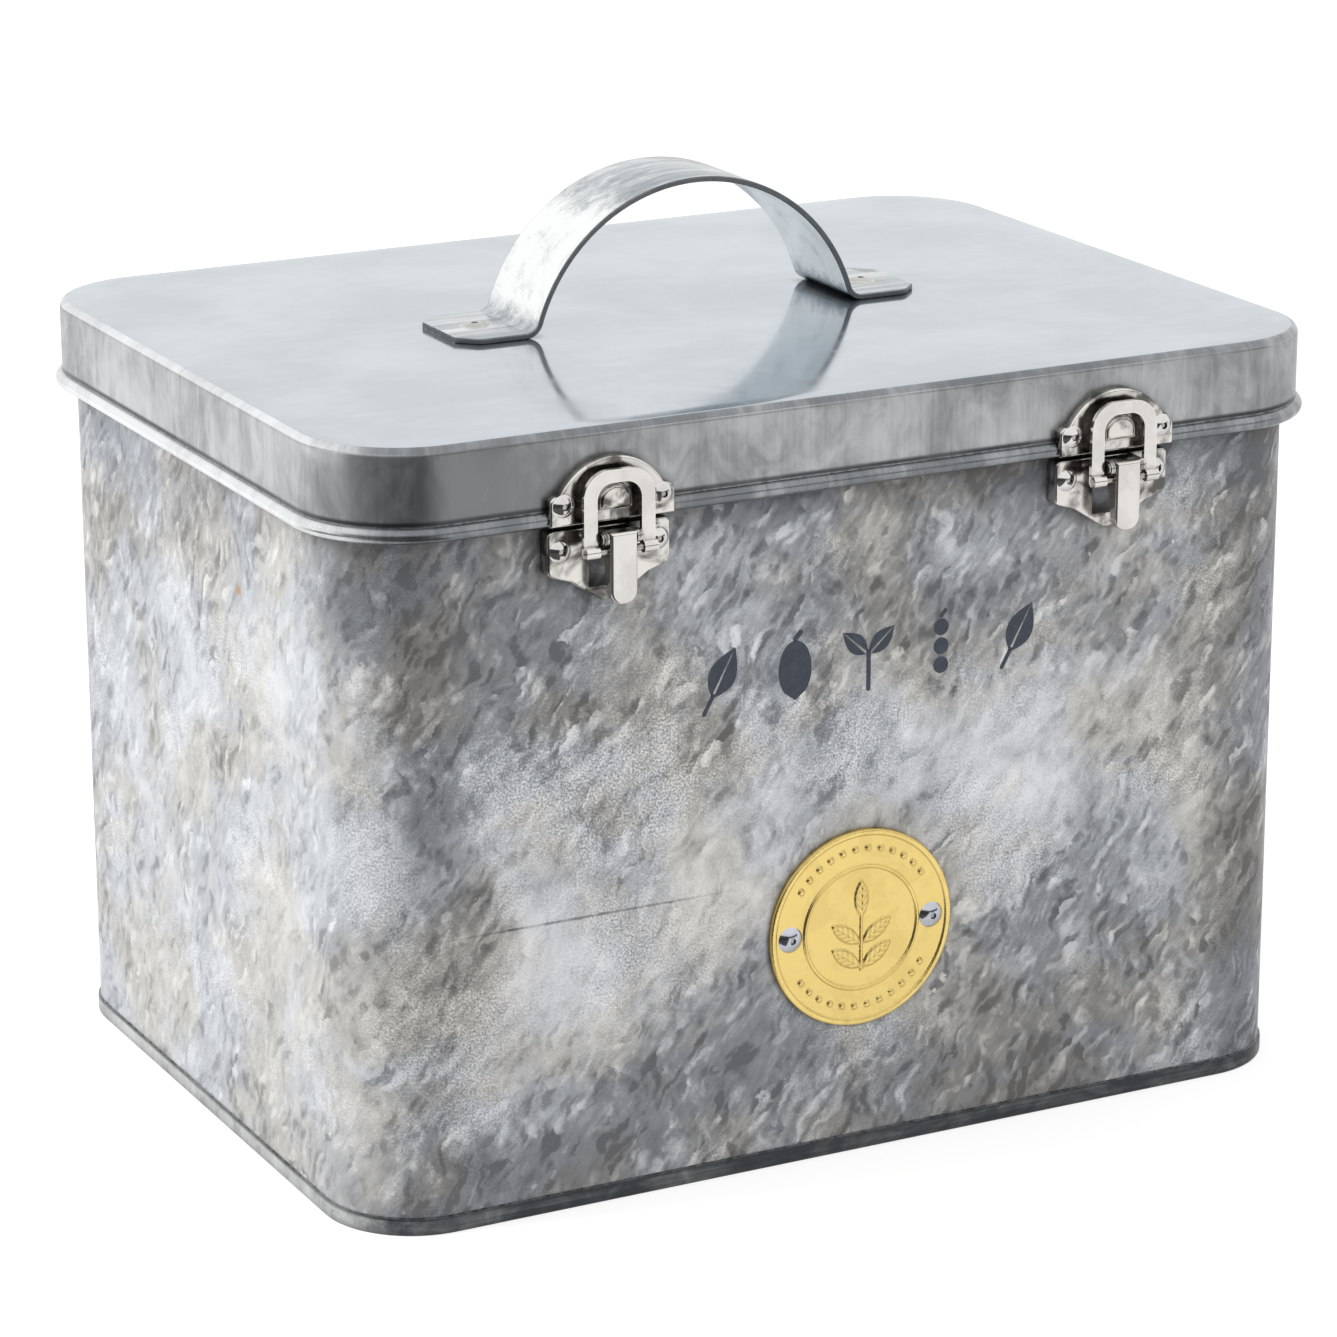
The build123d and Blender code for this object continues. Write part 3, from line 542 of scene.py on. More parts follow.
@dataclass(frozen=True)
class Finish:
    """What every finish has.

    Attributes:
        name: The material's name.
        metal: How metallic it is, 0 to 1.
    """

    name: str
    metal: float

    def wire(self, desk: Desk, shader: bpy.types.Node) -> None:
        """Feeds the shader. Each kind of finish has its own.

        Args:
            desk: The material's desk.
            shader: The Principled shader.
        """
        raise NotImplementedError

    def point(self, desk: Desk) -> bpy.types.NodeSocket:
        """Returns the point on the piece, in metres."""
        return desk.node("ShaderNodeTexCoord").outputs["Object"]

    def bump(
        self, desk: Desk, shader: bpy.types.Node, height: Feed, depth: float, strength: float = 1.0
    ) -> None:
        """Gives the surface its relief.

        Args:
            desk: The material's desk.
            shader: The Principled shader.
            height: The relief, about 0 to 1.
            depth: What 1 stands for, in metres.
            strength: How much of it shows.
        """
        made = desk.node("ShaderNodeBump")
        made.inputs["Strength"].default_value = strength
        made.inputs["Distance"].default_value = depth
        desk.feed(made.inputs["Height"], height)
        desk.feed(shader.inputs["Normal"], made.outputs[0])

    def material(self) -> bpy.types.Material:
        """Returns the material, and builds it the first time."""
        found = bpy.data.materials.get(self.name)
        if found is not None:
            return found
        made = bpy.data.materials.new(self.name)
        desk = Desk.emptied(made)
        shader = desk.node("ShaderNodeBsdfPrincipled")
        shader.inputs["Metallic"].default_value = self.metal
        output = desk.node("ShaderNodeOutputMaterial")
        made.node_tree.links.new(shader.outputs[0], output.inputs[0])
        self.wire(desk, shader)
        return made


@dataclass(frozen=True)
class CloudPatch:
    """A soft lighter or darker patch on the rolled-out wall.

    Attributes:
        along: Its middle along the wall, in millimetres from the middle of the front.
        height: Its middle above the ground, in millimetres.
        half_width: Its half width, in millimetres.
        half_height: Its half height, in millimetres.
        lift: How much lighter it is; below 0 it is darker.
    """

    along: float
    height: float
    half_width: float
    half_height: float
    lift: float


def lifted(desk: Desk, point: Feed, patches: Sequence[CloudPatch]) -> Feed:
    """Adds up patches.

    Args:
        desk: The material's desk.
        point: The point on the rolled-out wall.
        patches: The patches.

    Returns:
        How much lighter the point is.
    """
    total: Feed = 0.0
    for patch in patches:
        shift = (-patch.along / 1000, -patch.height / 1000, 0)
        size = (1000 / patch.half_width, 1000 / patch.half_height, 0)
        moved = desk.stretched(point, size, shift=shift)
        far = desk.node("ShaderNodeVectorMath", operation="LENGTH")
        desk.feed(far.inputs[0], moved)
        share = desk.spread(far.outputs["Value"], 1.25, 0.15, 0.0, patch.lift)
        total = desk.math("ADD", share, total)
    return total


@dataclass(frozen=True)
class PatinaFinish(Finish):
    """Galvanised sheet, weathered to clouds of grey, with painted shade in its corners.

    Attributes:
        cool: Colours of the bluish clouds, dark to light.
        warm: Colours of the brownish clouds, dark to light.
        patches: Patches that have a place of their own.
        rolled_out: Whether points come from the wall's own UV map.
        evenness: How much of the patina's contrast is kept.
        side_evenness: The same on the sides and the back.
        joint: How far along the wall the sheet's ends meet, in metres.
        rust: Small spots of rust.
    """

    cool: tuple[Colour, ...]
    warm: tuple[Colour, ...]
    patches: tuple[CloudPatch, ...] = ()
    rolled_out: bool = True
    evenness: float = 1.0
    side_evenness: float = 1.0
    joint: float = 1.0
    rust: tuple[CloudPatch, ...] = ()

    def point(self, desk: Desk) -> bpy.types.NodeSocket:
        """Returns the point on the rolled-out wall, or the point in the part's frame."""
        return desk.node("ShaderNodeTexCoord").outputs["UV" if self.rolled_out else "Object"]

    def wire(self, desk: Desk, shader: bpy.types.Node) -> None:
        """Feeds colour, roughness and relief from the patina effect.

        Args:
            desk: The material's desk.
            shader: The Principled shader.
        """
        point = self.point(desk)
        patina = desk.effect(PATINA.group(), Point=point)
        shade_and_tarnish = desk.effect(RECESS.group(), Point=point, Reach=0.004)
        cloud = desk.math("ADD", patina.outputs["Cloud"], lifted(desk, point, self.patches))
        strokes = desk.math(
            "MULTIPLY", patina.outputs["Stroke"], desk.spread(cloud, 0.64, 0.46, 0.17, 0.50)
        )
        specks = desk.math(
            "MULTIPLY", patina.outputs["Speck"], desk.spread(cloud, 0.42, 0.62, 0.25, 0.75)
        )
        value = desk.math("ADD", cloud, desk.math("ADD", strokes, specks))
        across = desk.axis(point, 0)
        middle = 0.56
        evenness = desk.spread(
            desk.math("ABSOLUTE", across), 0.098, 0.112, self.evenness, self.side_evenness
        )
        value = desk.math(
            "ADD", desk.math("MULTIPLY", desk.math("SUBTRACT", value, middle), evenness), middle
        )
        places = (0.20, 0.42, 0.56, 0.70, 0.88)
        cool = desk.ramp(value, tuple(zip(places, self.cool)))
        warm = desk.ramp(value, tuple(zip(places, self.warm)))
        turned = desk.spread(patina.outputs["Warmth"], 0.40, 0.60)
        colour = desk.blend(turned, cool, warm)
        shade_and_joint = desk.math("MULTIPLY", shade_and_tarnish.outputs["Corner"], 0.55)
        if self.joint < 1.0:
            off = desk.math("ABSOLUTE", across)
            seam = desk.spread(off, self.joint - 0.0006, self.joint - 0.0002, 0.0, 0.85)
            shade_and_joint = desk.math("MAXIMUM", shade_and_joint, seam)
        # Painted shade in corners, with some tarnishing, and the dark joint where the sheet's ends
        # meet.
        colour = desk.blend(shade_and_joint, colour, tone(70, 71, 74))
        if self.rust:
            colour = desk.blend(lifted(desk, point, self.rust), colour, tone(172, 134, 94))
        desk.feed(shader.inputs["Base Color"], colour)
        desk.feed(shader.inputs["Roughness"], desk.spread(value, 0.25, 0.85, 0.50, 0.36))
        self.bump(desk, shader, patina.outputs["Height"], 0.00012, 0.12)


@dataclass(frozen=True)
class Band:
    """A change of tone with height.

    Attributes:
        low: Height in metres where it starts.
        high: Height in metres from where it is complete.
        lift: How much lighter the metal is above it; below 0 it is darker.
    """

    low: float
    high: float
    lift: float


@dataclass(frozen=True)
class RolledFinish(Finish):
    """Smooth rolled sheet with streaks, soft clouds and smudges, painted shade in corners and
    creases, and painted highlights on edges.

    Attributes:
        light: Colour of the clean metal, and of its painted light.
        dark: Colour of its streaks and clouds, and of its painted shade.
        smooth: Roughness where it is clean.
        dull: Roughness where it is smudged.
        turn: Turn in degrees that lays the streaks along Z.
        streaks: How strong the streaks are.
        clouds: How strong the clouds are.
        mottles: How strong the small blotches are.
        waves: Depth of the sheet's slow waves, in metres.
        rolled_out: Whether points come from the wall's own UV map.
        bands: Changes of tone with height.
        bias: How much lighter it is than usual; below 0 it is darker.
        creases: Heights in metres along which shade is painted, with some dirt.
        left_painted_light: How much lighter the left side is painted than the rest, as painted
            light.
        patches: Lighter and darker patches.
    """

    light: Colour
    dark: Colour
    smooth: float
    dull: float
    turn: tuple[float, float, float]
    streaks: float
    clouds: float
    mottles: float
    waves: float
    rolled_out: bool = False
    bands: tuple[Band, ...] = ()
    bias: float = 0.0
    creases: tuple[float, ...] = ()
    left_painted_light: float = 0.0
    patches: tuple[CloudPatch, ...] = ()

    def point(self, desk: Desk) -> bpy.types.NodeSocket:
        """Returns the point on the rolled-out wall, or the point in the part's frame."""
        return desk.node("ShaderNodeTexCoord").outputs["UV" if self.rolled_out else "Object"]

    def wire(self, desk: Desk, shader: bpy.types.Node) -> None:
        """Feeds colour, roughness and relief.

        Args:
            desk: The material's desk.
            shader: The Principled shader.
        """
        point = self.point(desk)
        streak = desk.effect(STREAKS.group(), Point=desk.stretched(point, (1, 1, 1), self.turn))
        marks = desk.effect(HANDLING.group(), Point=point)
        edge_finder = desk.effect(EDGE_MASK.group(), Point=point)
        shade_and_tarnish = desk.effect(RECESS.group(), Point=point, Reach=0.003)
        cloud = desk.noise(point, 30, 4, 0.55, 0.4)
        lined = desk.math(
            "MULTIPLY", desk.math("SUBTRACT", streak.outputs["Streak"], 0.5), self.streaks
        )
        clouded = desk.math("MULTIPLY", desk.math("SUBTRACT", cloud, 0.5), self.clouds)
        mottle = desk.noise(
            desk.stretched(point, (1, 1, 0.6), self.turn, (4, 2, 6)), 150, 5, 0.62, 0.9
        )
        mottled = desk.math("MULTIPLY", desk.math("SUBTRACT", mottle, 0.5), self.mottles)
        shaded = desk.math(
            "ADD", desk.math("ADD", desk.math("ADD", lined, clouded), mottled), self.bias
        )
        for band in self.bands:
            lift = desk.spread(
                desk.height(point, self.rolled_out), band.low, band.high, 0.0, band.lift
            )
            shaded = desk.math("ADD", shaded, lift)
        # Painted light: the left side is made lighter than the rest.
        if self.left_painted_light:
            across = desk.axis(super().point(desk), 0)
            shaded = desk.math(
                "ADD", shaded, desk.spread(across, -0.100, -0.118, 0.0, self.left_painted_light)
            )
        shaded = desk.math("ADD", shaded, lifted(desk, point, self.patches))
        share = desk.spread(shaded, -0.2, 0.2)
        colour = desk.blend(share, self.dark, self.light)
        colour = desk.blend(
            desk.math("MULTIPLY", marks.outputs["Scratch"], 0.35), colour, self.dark
        )
        # Painted shade in corners, with some tarnishing.
        colour = desk.blend(
            desk.math("MULTIPLY", shade_and_tarnish.outputs["Corner"], 0.6), colour, tone(62, 64, 68)
        )
        # Painted shade along each crease, with some dirt.
        for crease in self.creases:
            off = desk.math(
                "ABSOLUTE", desk.math("SUBTRACT", desk.height(point, self.rolled_out), crease)
            )
            crease_shade_and_dirt = desk.math(
                "MULTIPLY", desk.spread(off, 0.0009, 0.0001),
                desk.spread(cloud, 0.2, 0.6, 0.5, 0.95)
            )
            colour = desk.blend(crease_shade_and_dirt, colour, tone(52, 54, 57))
        # Painted highlight along edges, with some wear.
        colour = desk.blend(
            desk.math("MULTIPLY", edge_finder.outputs["Edge"], 0.45), colour, tone(238, 240, 243)
        )
        desk.feed(shader.inputs["Base Color"], colour)
        rough = desk.spread(marks.outputs["Smudge"], 0.0, 1.0, self.smooth, self.dull)
        desk.feed(shader.inputs["Roughness"], rough)
        slow = desk.noise(point, 14, 2, 0.4)
        fine = desk.math("MULTIPLY", streak.outputs["Streak"], 0.02)
        self.bump(desk, shader, desk.math("ADD", slow, fine), self.waves)


@dataclass(frozen=True)
class PlatedFinish(Finish):
    """Bright plating over pressed steel or brass, with painted shade in its corners and painted
    highlights on its edges.

    Attributes:
        light: Colour of the plating.
        dark: Colour of its tarnishing and of the painted shade in its corners.
        smooth: Roughness of the clean plating.
        dull: Roughness of the tarnish.
        shade_and_tarnish_strength: How strong the painted shade and tarnishing in the corners are.
        reach: How far the painted shade and tarnishing in a corner reach, in metres.
        dimples: Depth of the plating's dimples, in metres.
        lightening: How far its edges turn to the shine colour: wear from rubbing, with a painted
            highlight.
        patches: How far dark patches spread over its faces: tarnishing, and where strong, as on the
            latch plates, painted dark reflections.
        shine: Colour of the painted highlight on its worn edges.
    """

    light: Colour
    dark: Colour
    smooth: float
    dull: float
    shade_and_tarnish_strength: float
    reach: float
    dimples: float
    lightening: float = 0.35
    patches: float = 0.22
    shine: Colour = tone(250, 248, 244)

    def shade_and_tarnish(self, desk: Desk, point: bpy.types.NodeSocket) -> bpy.types.NodeSocket:
        """Finds where painted shade and tarnishing gather.

        Args:
            desk: The material's desk.
            point: The point on the piece.

        Returns:
            The socket of the painted shade and tarnishing, 0 to 1.
        """
        corner = desk.effect(RECESS.group(), Point=point, Reach=self.reach)
        return desk.math("MULTIPLY", corner.outputs["Corner"], self.shade_and_tarnish_strength)

    def wire(self, desk: Desk, shader: bpy.types.Node) -> None:
        """Feeds colour, roughness and relief.

        Args:
            desk: The material's desk.
            shader: The Principled shader.
        """
        point = self.point(desk)
        marks = desk.effect(HANDLING.group(), Point=point)
        edge_finder = desk.effect(EDGE_MASK.group(), Point=point)
        patchy = desk.spread(desk.noise(point, 160, 4, 0.6, 0.6), 0.40, 0.62, 0.0, self.patches)
        darker = self.shade_and_tarnish(desk, point)
        share = desk.math("MAXIMUM", darker, patchy)
        # Painted shade in corners, with some tarnishing, and dark patches; on the latch plates
        # these are painted dark reflections.
        colour = desk.blend(share, self.light, self.dark)
        # Painted highlight along edges, with some wear from rubbing.
        colour = desk.blend(
            desk.math("MULTIPLY", edge_finder.outputs["Edge"], self.lightening), colour, self.shine
        )
        desk.feed(shader.inputs["Base Color"], colour)
        spoilt = desk.math("MAXIMUM", darker, desk.math("MULTIPLY", marks.outputs["Smudge"], 0.5))
        desk.feed(shader.inputs["Roughness"], desk.spread(spoilt, 0.0, 1.0, self.smooth, self.dull))
        self.bump(desk, shader, desk.noise(point, 900, 3, 0.6), self.dimples)


@dataclass(frozen=True)
class ReliefFinish(PlatedFinish):
    """Plating over a stamped relief that faces -Y, with painted shade on its slopes and at its
    rim's side.

    Attributes:
        field: Y of the low field.
        top: Y of the relief's top.
    """

    field: float = 0.0
    top: float = -1.0

    def shade_and_tarnish(self, desk: Desk, point: bpy.types.NodeSocket) -> bpy.types.NodeSocket:
        """Finds where shade is painted on the relief's slopes and at its rim's side, and, more
        weakly, darkens its low field.

        Args:
            desk: The material's desk.
            point: The point on the piece.

        Returns:
            The socket of the painted shade and the darker field, 0 to 1.
        """
        split = desk.node("ShaderNodeSeparateXYZ")
        desk.feed(split.inputs[0], point)
        rise = desk.spread(split.outputs[1], self.field, self.top)
        low = desk.math("SUBTRACT", 1.0, rise)
        # Painted shade on the relief's slopes.
        slope = desk.math("MULTIPLY", desk.math("MULTIPLY", rise, low), 4.0)
        uneven = desk.noise(point, 600, 3, 0.6)
        # Painted shade on the plaque's side, next to the wall.
        edge = desk.spread(split.outputs[1], self.field + 0.0001, self.field + 0.0004, 0.0, 0.6)
        either = desk.math(
            "ADD", desk.math("MULTIPLY", slope, 0.45), desk.math("MULTIPLY", low, 0.08)
        )
        either = desk.math("ADD", either, edge)
        return desk.math("MULTIPLY", either, desk.math("ADD", uneven, 0.4), True)


@dataclass(frozen=True)
class CardFinish(Finish):
    """Uncoated card with pulp fibres and handled edges.

    Attributes:
        light: Colour of the card.
        dark: Colour of its fibres and of the soiling at its edges.
    """

    light: Colour
    dark: Colour

    def wire(self, desk: Desk, shader: bpy.types.Node) -> None:
        """Feeds colour, roughness and relief.

        Args:
            desk: The material's desk.
            shader: The Principled shader.
        """
        point = self.point(desk)
        fibres = desk.noise(desk.stretched(point, (1, 1, 0.3), (0, 35, 20)), 1800, 4, 0.7, 2.0)
        pulp = desk.noise(point, 60, 4, 0.6)
        edge_finder = desk.effect(EDGE_MASK.group(), Point=point)
        soiled = desk.math(
            "MAXIMUM", desk.spread(fibres, 0.5, 0.8, 0, 0.35), desk.spread(pulp, 0.5, 0.8, 0, 0.3)
        )
        share = desk.math("MAXIMUM", soiled, desk.math("MULTIPLY", edge_finder.outputs["Edge"], 0.5))
        desk.feed(shader.inputs["Base Color"], desk.blend(share, self.light, self.dark))
        desk.feed(shader.inputs["Roughness"], desk.spread(pulp, 0.3, 0.7, 0.78, 0.92))
        self.bump(desk, shader, fibres, 0.00005)


@dataclass(frozen=True)
class InkFinish(Finish):
    """Dark printing ink on the galvanised wall.

    Attributes:
        full: Colour where the ink is thick.
        thin: Colour where the ink is worn thin.
    """

    full: Colour
    thin: Colour

    def wire(self, desk: Desk, shader: bpy.types.Node) -> None:
        """Feeds colour, roughness and relief.

        Args:
            desk: The material's desk.
            shader: The Principled shader.
        """
        point = self.point(desk)
        cover = desk.noise(point, 420, 5, 0.7, 0.5)
        grain = desk.noise(point, 2200, 2, 0.6)
        lightening = desk.spread(
            desk.math("ADD", cover, desk.math("MULTIPLY", grain, 0.3)), 0.55, 0.95, 0.0, 0.6
        )
        desk.feed(shader.inputs["Base Color"], desk.blend(lightening, self.full, self.thin))
        desk.feed(shader.inputs["Roughness"], desk.spread(lightening, 0.0, 0.6, 0.42, 0.6))
        self.bump(desk, shader, grain, 0.00002)


@dataclass(frozen=True)
class Finishes:
    """Every finish of the box, named for what it covers."""

    wall: Finish
    inside: Finish
    seam: Finish
    lid_top: Finish
    lid_skirt: Finish
    lid_rim: Finish
    handle: Finish
    handle_edge: Finish
    handle_rivet: Finish
    latch_plate: Finish
    latch: Finish
    latch_rivet: Finish
    latch_pin: Finish
    plaque: Finish
    plaque_rivet: Finish
    hinge: Finish
    hinge_pin: Finish
    partition: Finish
    card: Finish
    ink: Finish


COOL_GREYS = (
    tone(102, 105, 110), tone(145, 148, 154), tone(186, 189, 194), tone(222, 224, 229),
    tone(248, 249, 253)
)
WARM_GREYS = (
    tone(103, 102, 100), tone(148, 147, 144), tone(188, 186, 182), tone(223, 221, 217),
    tone(248, 247, 245)
)
WALL_PATCHES = (
    CloudPatch(-78, 124, 40, 26, -0.13),
    # Painted dark reflection down the front-left corner.
    CloudPatch(-92, 85, 8, 75, -0.07),
    # Painted highlight on the front-left corner.
    CloudPatch(-104, 75, 9, 40, 0.06),
    CloudPatch(-66, 58, 30, 32, 0.17),
    CloudPatch(28, 86, 50, 20, 0.15),
    CloudPatch(-74, 92, 22, 16, 0.06),
    CloudPatch(-44, 14, 40, 14, -0.13),
    CloudPatch(8, 120, 34, 12, -0.08),
    CloudPatch(62, 105, 16, 11, -0.14),
    CloudPatch(-48, 90, 16, 12, 0.12),
    CloudPatch(-130, 42, 16, 24, 0.12),
    CloudPatch(-34, 26, 32, 14, -0.10),
    CloudPatch(-85, 60, 9, 16, -0.16),
    CloudPatch(-140, 128, 60, 10, -0.08),
    CloudPatch(52, 26, 34, 28, -0.08),
    CloudPatch(-30, 66, 22, 26, 0.16),
    CloudPatch(40, 68, 22, 22, 0.20),
    CloudPatch(96, 56, 12, 90, -0.15),
    # This patch and the next paint shade along the top of the walls, under the lid.
    CloudPatch(10, 142, 130, 9, -0.16),
    CloudPatch(-190, 141, 80, 9, -0.14),
    CloudPatch(-106, 134, 16, 14, -0.16),
    CloudPatch(94, 134, 16, 18, -0.24),
    CloudPatch(76, 62, 14, 30, 0.10),
    CloudPatch(56, 138, 30, 10, -0.10),
    CloudPatch(-92, 8, 50, 15, -0.20),
    CloudPatch(40, 6, 70, 12, -0.09),
    CloudPatch(-140, 112, 24, 36, 0.10),
    CloudPatch(-216, 128, 34, 20, -0.16),
    CloudPatch(-175, 60, 90, 110, 0.04),
    CloudPatch(-61, 61.5, 34, 0.35, -0.22),
)

# Painted dark reflections on the skirt's two front corners.
SKIRT_PAINTED_REFLECTIONS = (
    CloudPatch(-82, 153, 24, 22, -0.24),
    CloudPatch(102, 153, 34, 22, -0.13),
)

FINISHES = Finishes(
    wall=PatinaFinish(
        "galvanised_wall", metal=0.20, cool=COOL_GREYS, warm=WARM_GREYS, patches=WALL_PATCHES,
        rolled_out=True, evenness=1.0, side_evenness=0.66, joint=0.3629,
        rust=(CloudPatch(-158.2, 120.5, 1.7, 1.3, 0.9),)
    ),
    inside=PatinaFinish(
        "galvanised_inside", metal=0.45, cool=COOL_GREYS[1:] + COOL_GREYS[-1:],
        warm=WARM_GREYS[1:] + WARM_GREYS[-1:], patches=(), rolled_out=False, evenness=0.4,
        side_evenness=0.4
    ),
    # Painted shade on the front, the right and the back, painted light on the left side, and
    # painted shade along the crease at its top.
    seam=RolledFinish(
        "base_seam_zinc", metal=0.75, light=tone(210, 212, 210), dark=tone(64, 67, 71), smooth=0.28,
        dull=0.45, turn=(0, 90, 0), streaks=0.4, clouds=0.3, mottles=0.3, waves=0.0002,
        rolled_out=False, bands=(), bias=-0.16, creases=(0.0038,), left_painted_light=0.44
    ),
    lid_top=RolledFinish(
        "lid_top_zinc", metal=0.92, light=tone(198, 206, 212), dark=tone(183, 191, 197),
        smooth=0.09, dull=0.14, turn=(0, 90, 0), streaks=0.12, clouds=0.9, mottles=0.35,
        waves=0.00002
    ),
    # Painted dark reflections on its front corners, and painted shade along the crease above the
    # rim.
    lid_skirt=RolledFinish(
        "lid_skirt_zinc", metal=0.8, light=tone(196, 198, 199), dark=tone(132, 134, 135),
        smooth=0.28, dull=0.38, turn=(90, 0, 0), streaks=0.35, clouds=0.6, mottles=0.5,
        waves=0.0001, rolled_out=True, bands=(), bias=0.03, creases=(0.1468,), left_painted_light=0.0,
        patches=SKIRT_PAINTED_REFLECTIONS
    ),
    # Painted highlight on the rim bead and the top fold along the left side, painted shade on the
    # rest of them.
    lid_rim=RolledFinish(
        "lid_rim_zinc", metal=0.9, light=tone(238, 240, 241), dark=tone(122, 125, 128), smooth=0.22,
        dull=0.34, turn=(90, 0, 0), streaks=0.2, clouds=0.4, mottles=0.3, waves=0.0001,
        rolled_out=True, bands=(), bias=-0.13, creases=(), left_painted_light=0.32
    ),
    # The bands paint the strap lighter above its feet, as painted light, and darker over the top of
    # the arch.
    handle=RolledFinish(
        "handle_tinplate", metal=1.0, light=tone(253, 254, 254), dark=tone(150, 158, 162),
        smooth=0.12, dull=0.20, turn=(0, 90, 0), streaks=1.0, clouds=0.2, mottles=0.0, waves=0.0002,
        rolled_out=False, bands=(Band(0.1626, 0.168, 0.26), Band(0.182, 0.190, -0.28)), bias=-0.08
    ),
    handle_edge=PlatedFinish(
        "handle_cut_edge", metal=0.9, light=tone(112, 115, 117), dark=tone(70, 72, 74), smooth=0.36,
        dull=0.5, shade_and_tarnish_strength=0.6, reach=0.002, dimples=0.00003
    ),
    handle_rivet=PlatedFinish(
        "handle_rivet_steel", metal=0.9, light=tone(196, 196, 190), dark=tone(120, 112, 100),
        smooth=0.28, dull=0.5, shade_and_tarnish_strength=0.7, reach=0.002, dimples=0.00004
    ),
    # Painted dark reflections in its dark patches, painted shade in its corners, and painted
    # highlights on its edges.
    latch_plate=PlatedFinish(
        "latch_plate_nickel", metal=1.0, light=tone(232, 228, 222), dark=tone(30, 28, 26),
        smooth=0.14, dull=0.28, shade_and_tarnish_strength=1.0, reach=0.0034, dimples=0.00001, lightening=0.95,
        patches=0.85
    ),
    latch=PlatedFinish(
        "latch_nickel", metal=1.0, light=tone(232, 228, 223), dark=tone(60, 57, 53), smooth=0.12,
        dull=0.26, shade_and_tarnish_strength=0.7, reach=0.0016, dimples=0.00001, lightening=0.6, patches=0.12
    ),
    # Painted shade round the rivet heads, and painted highlights on their edges.
    latch_rivet=PlatedFinish(
        "latch_rivet_nickel", metal=1.0, light=tone(226, 224, 222), dark=tone(26, 25, 24),
        smooth=0.10, dull=0.32, shade_and_tarnish_strength=1.0, reach=0.0022, dimples=0.00001, lightening=0.35,
        patches=0.15
    ),
    latch_pin=PlatedFinish(
        "latch_pin_nickel", metal=1.0, light=tone(196, 193, 189), dark=tone(40, 38, 36),
        smooth=0.16, dull=0.34, shade_and_tarnish_strength=0.8, reach=0.0018, dimples=0.00001
    ),
    # Painted shade on its relief's slopes and side, painted highlight on its edges.
    plaque=ReliefFinish(
        "stamped_brass", metal=1.0, light=tone(253, 225, 143), dark=tone(128, 88, 30), smooth=0.24,
        dull=0.40, shade_and_tarnish_strength=1.0, reach=0.0012, dimples=0.00006, lightening=0.3, patches=0.15,
        shine=tone(255, 236, 170), field=-0.08131, top=-0.08168
    ),
    plaque_rivet=PlatedFinish(
        "plaque_rivet_steel", metal=1.0, light=tone(206, 209, 218), dark=tone(42, 44, 50),
        smooth=0.14, dull=0.34, shade_and_tarnish_strength=0.9, reach=0.0014, dimples=0.00001
    ),
    hinge=PlatedFinish(
        "hinge_zinc", metal=0.9, light=tone(196, 198, 200), dark=tone(96, 97, 98), smooth=0.26,
        dull=0.44, shade_and_tarnish_strength=0.6, reach=0.0020, dimples=0.00003
    ),
    hinge_pin=PlatedFinish(
        "hinge_pin_zinc", metal=0.95, light=tone(186, 188, 190), dark=tone(84, 84, 85), smooth=0.22,
        dull=0.40, shade_and_tarnish_strength=0.6, reach=0.0016, dimples=0.00002
    ),
    partition=PatinaFinish(
        "partition_zinc", metal=0.5, cool=COOL_GREYS[1:] + COOL_GREYS[-1:],
        warm=WARM_GREYS[1:] + WARM_GREYS[-1:], patches=(), rolled_out=False, evenness=0.4,
        side_evenness=0.4
    ),
    card=CardFinish("manila_card", metal=0.0, light=tone(221, 199, 158), dark=tone(170, 140, 96)),
    ink=InkFinish("slate_ink", metal=0.0, full=tone(50, 58, 70), thin=tone(84, 92, 104)),
)


# ------------------------------------------------------------------ meshes


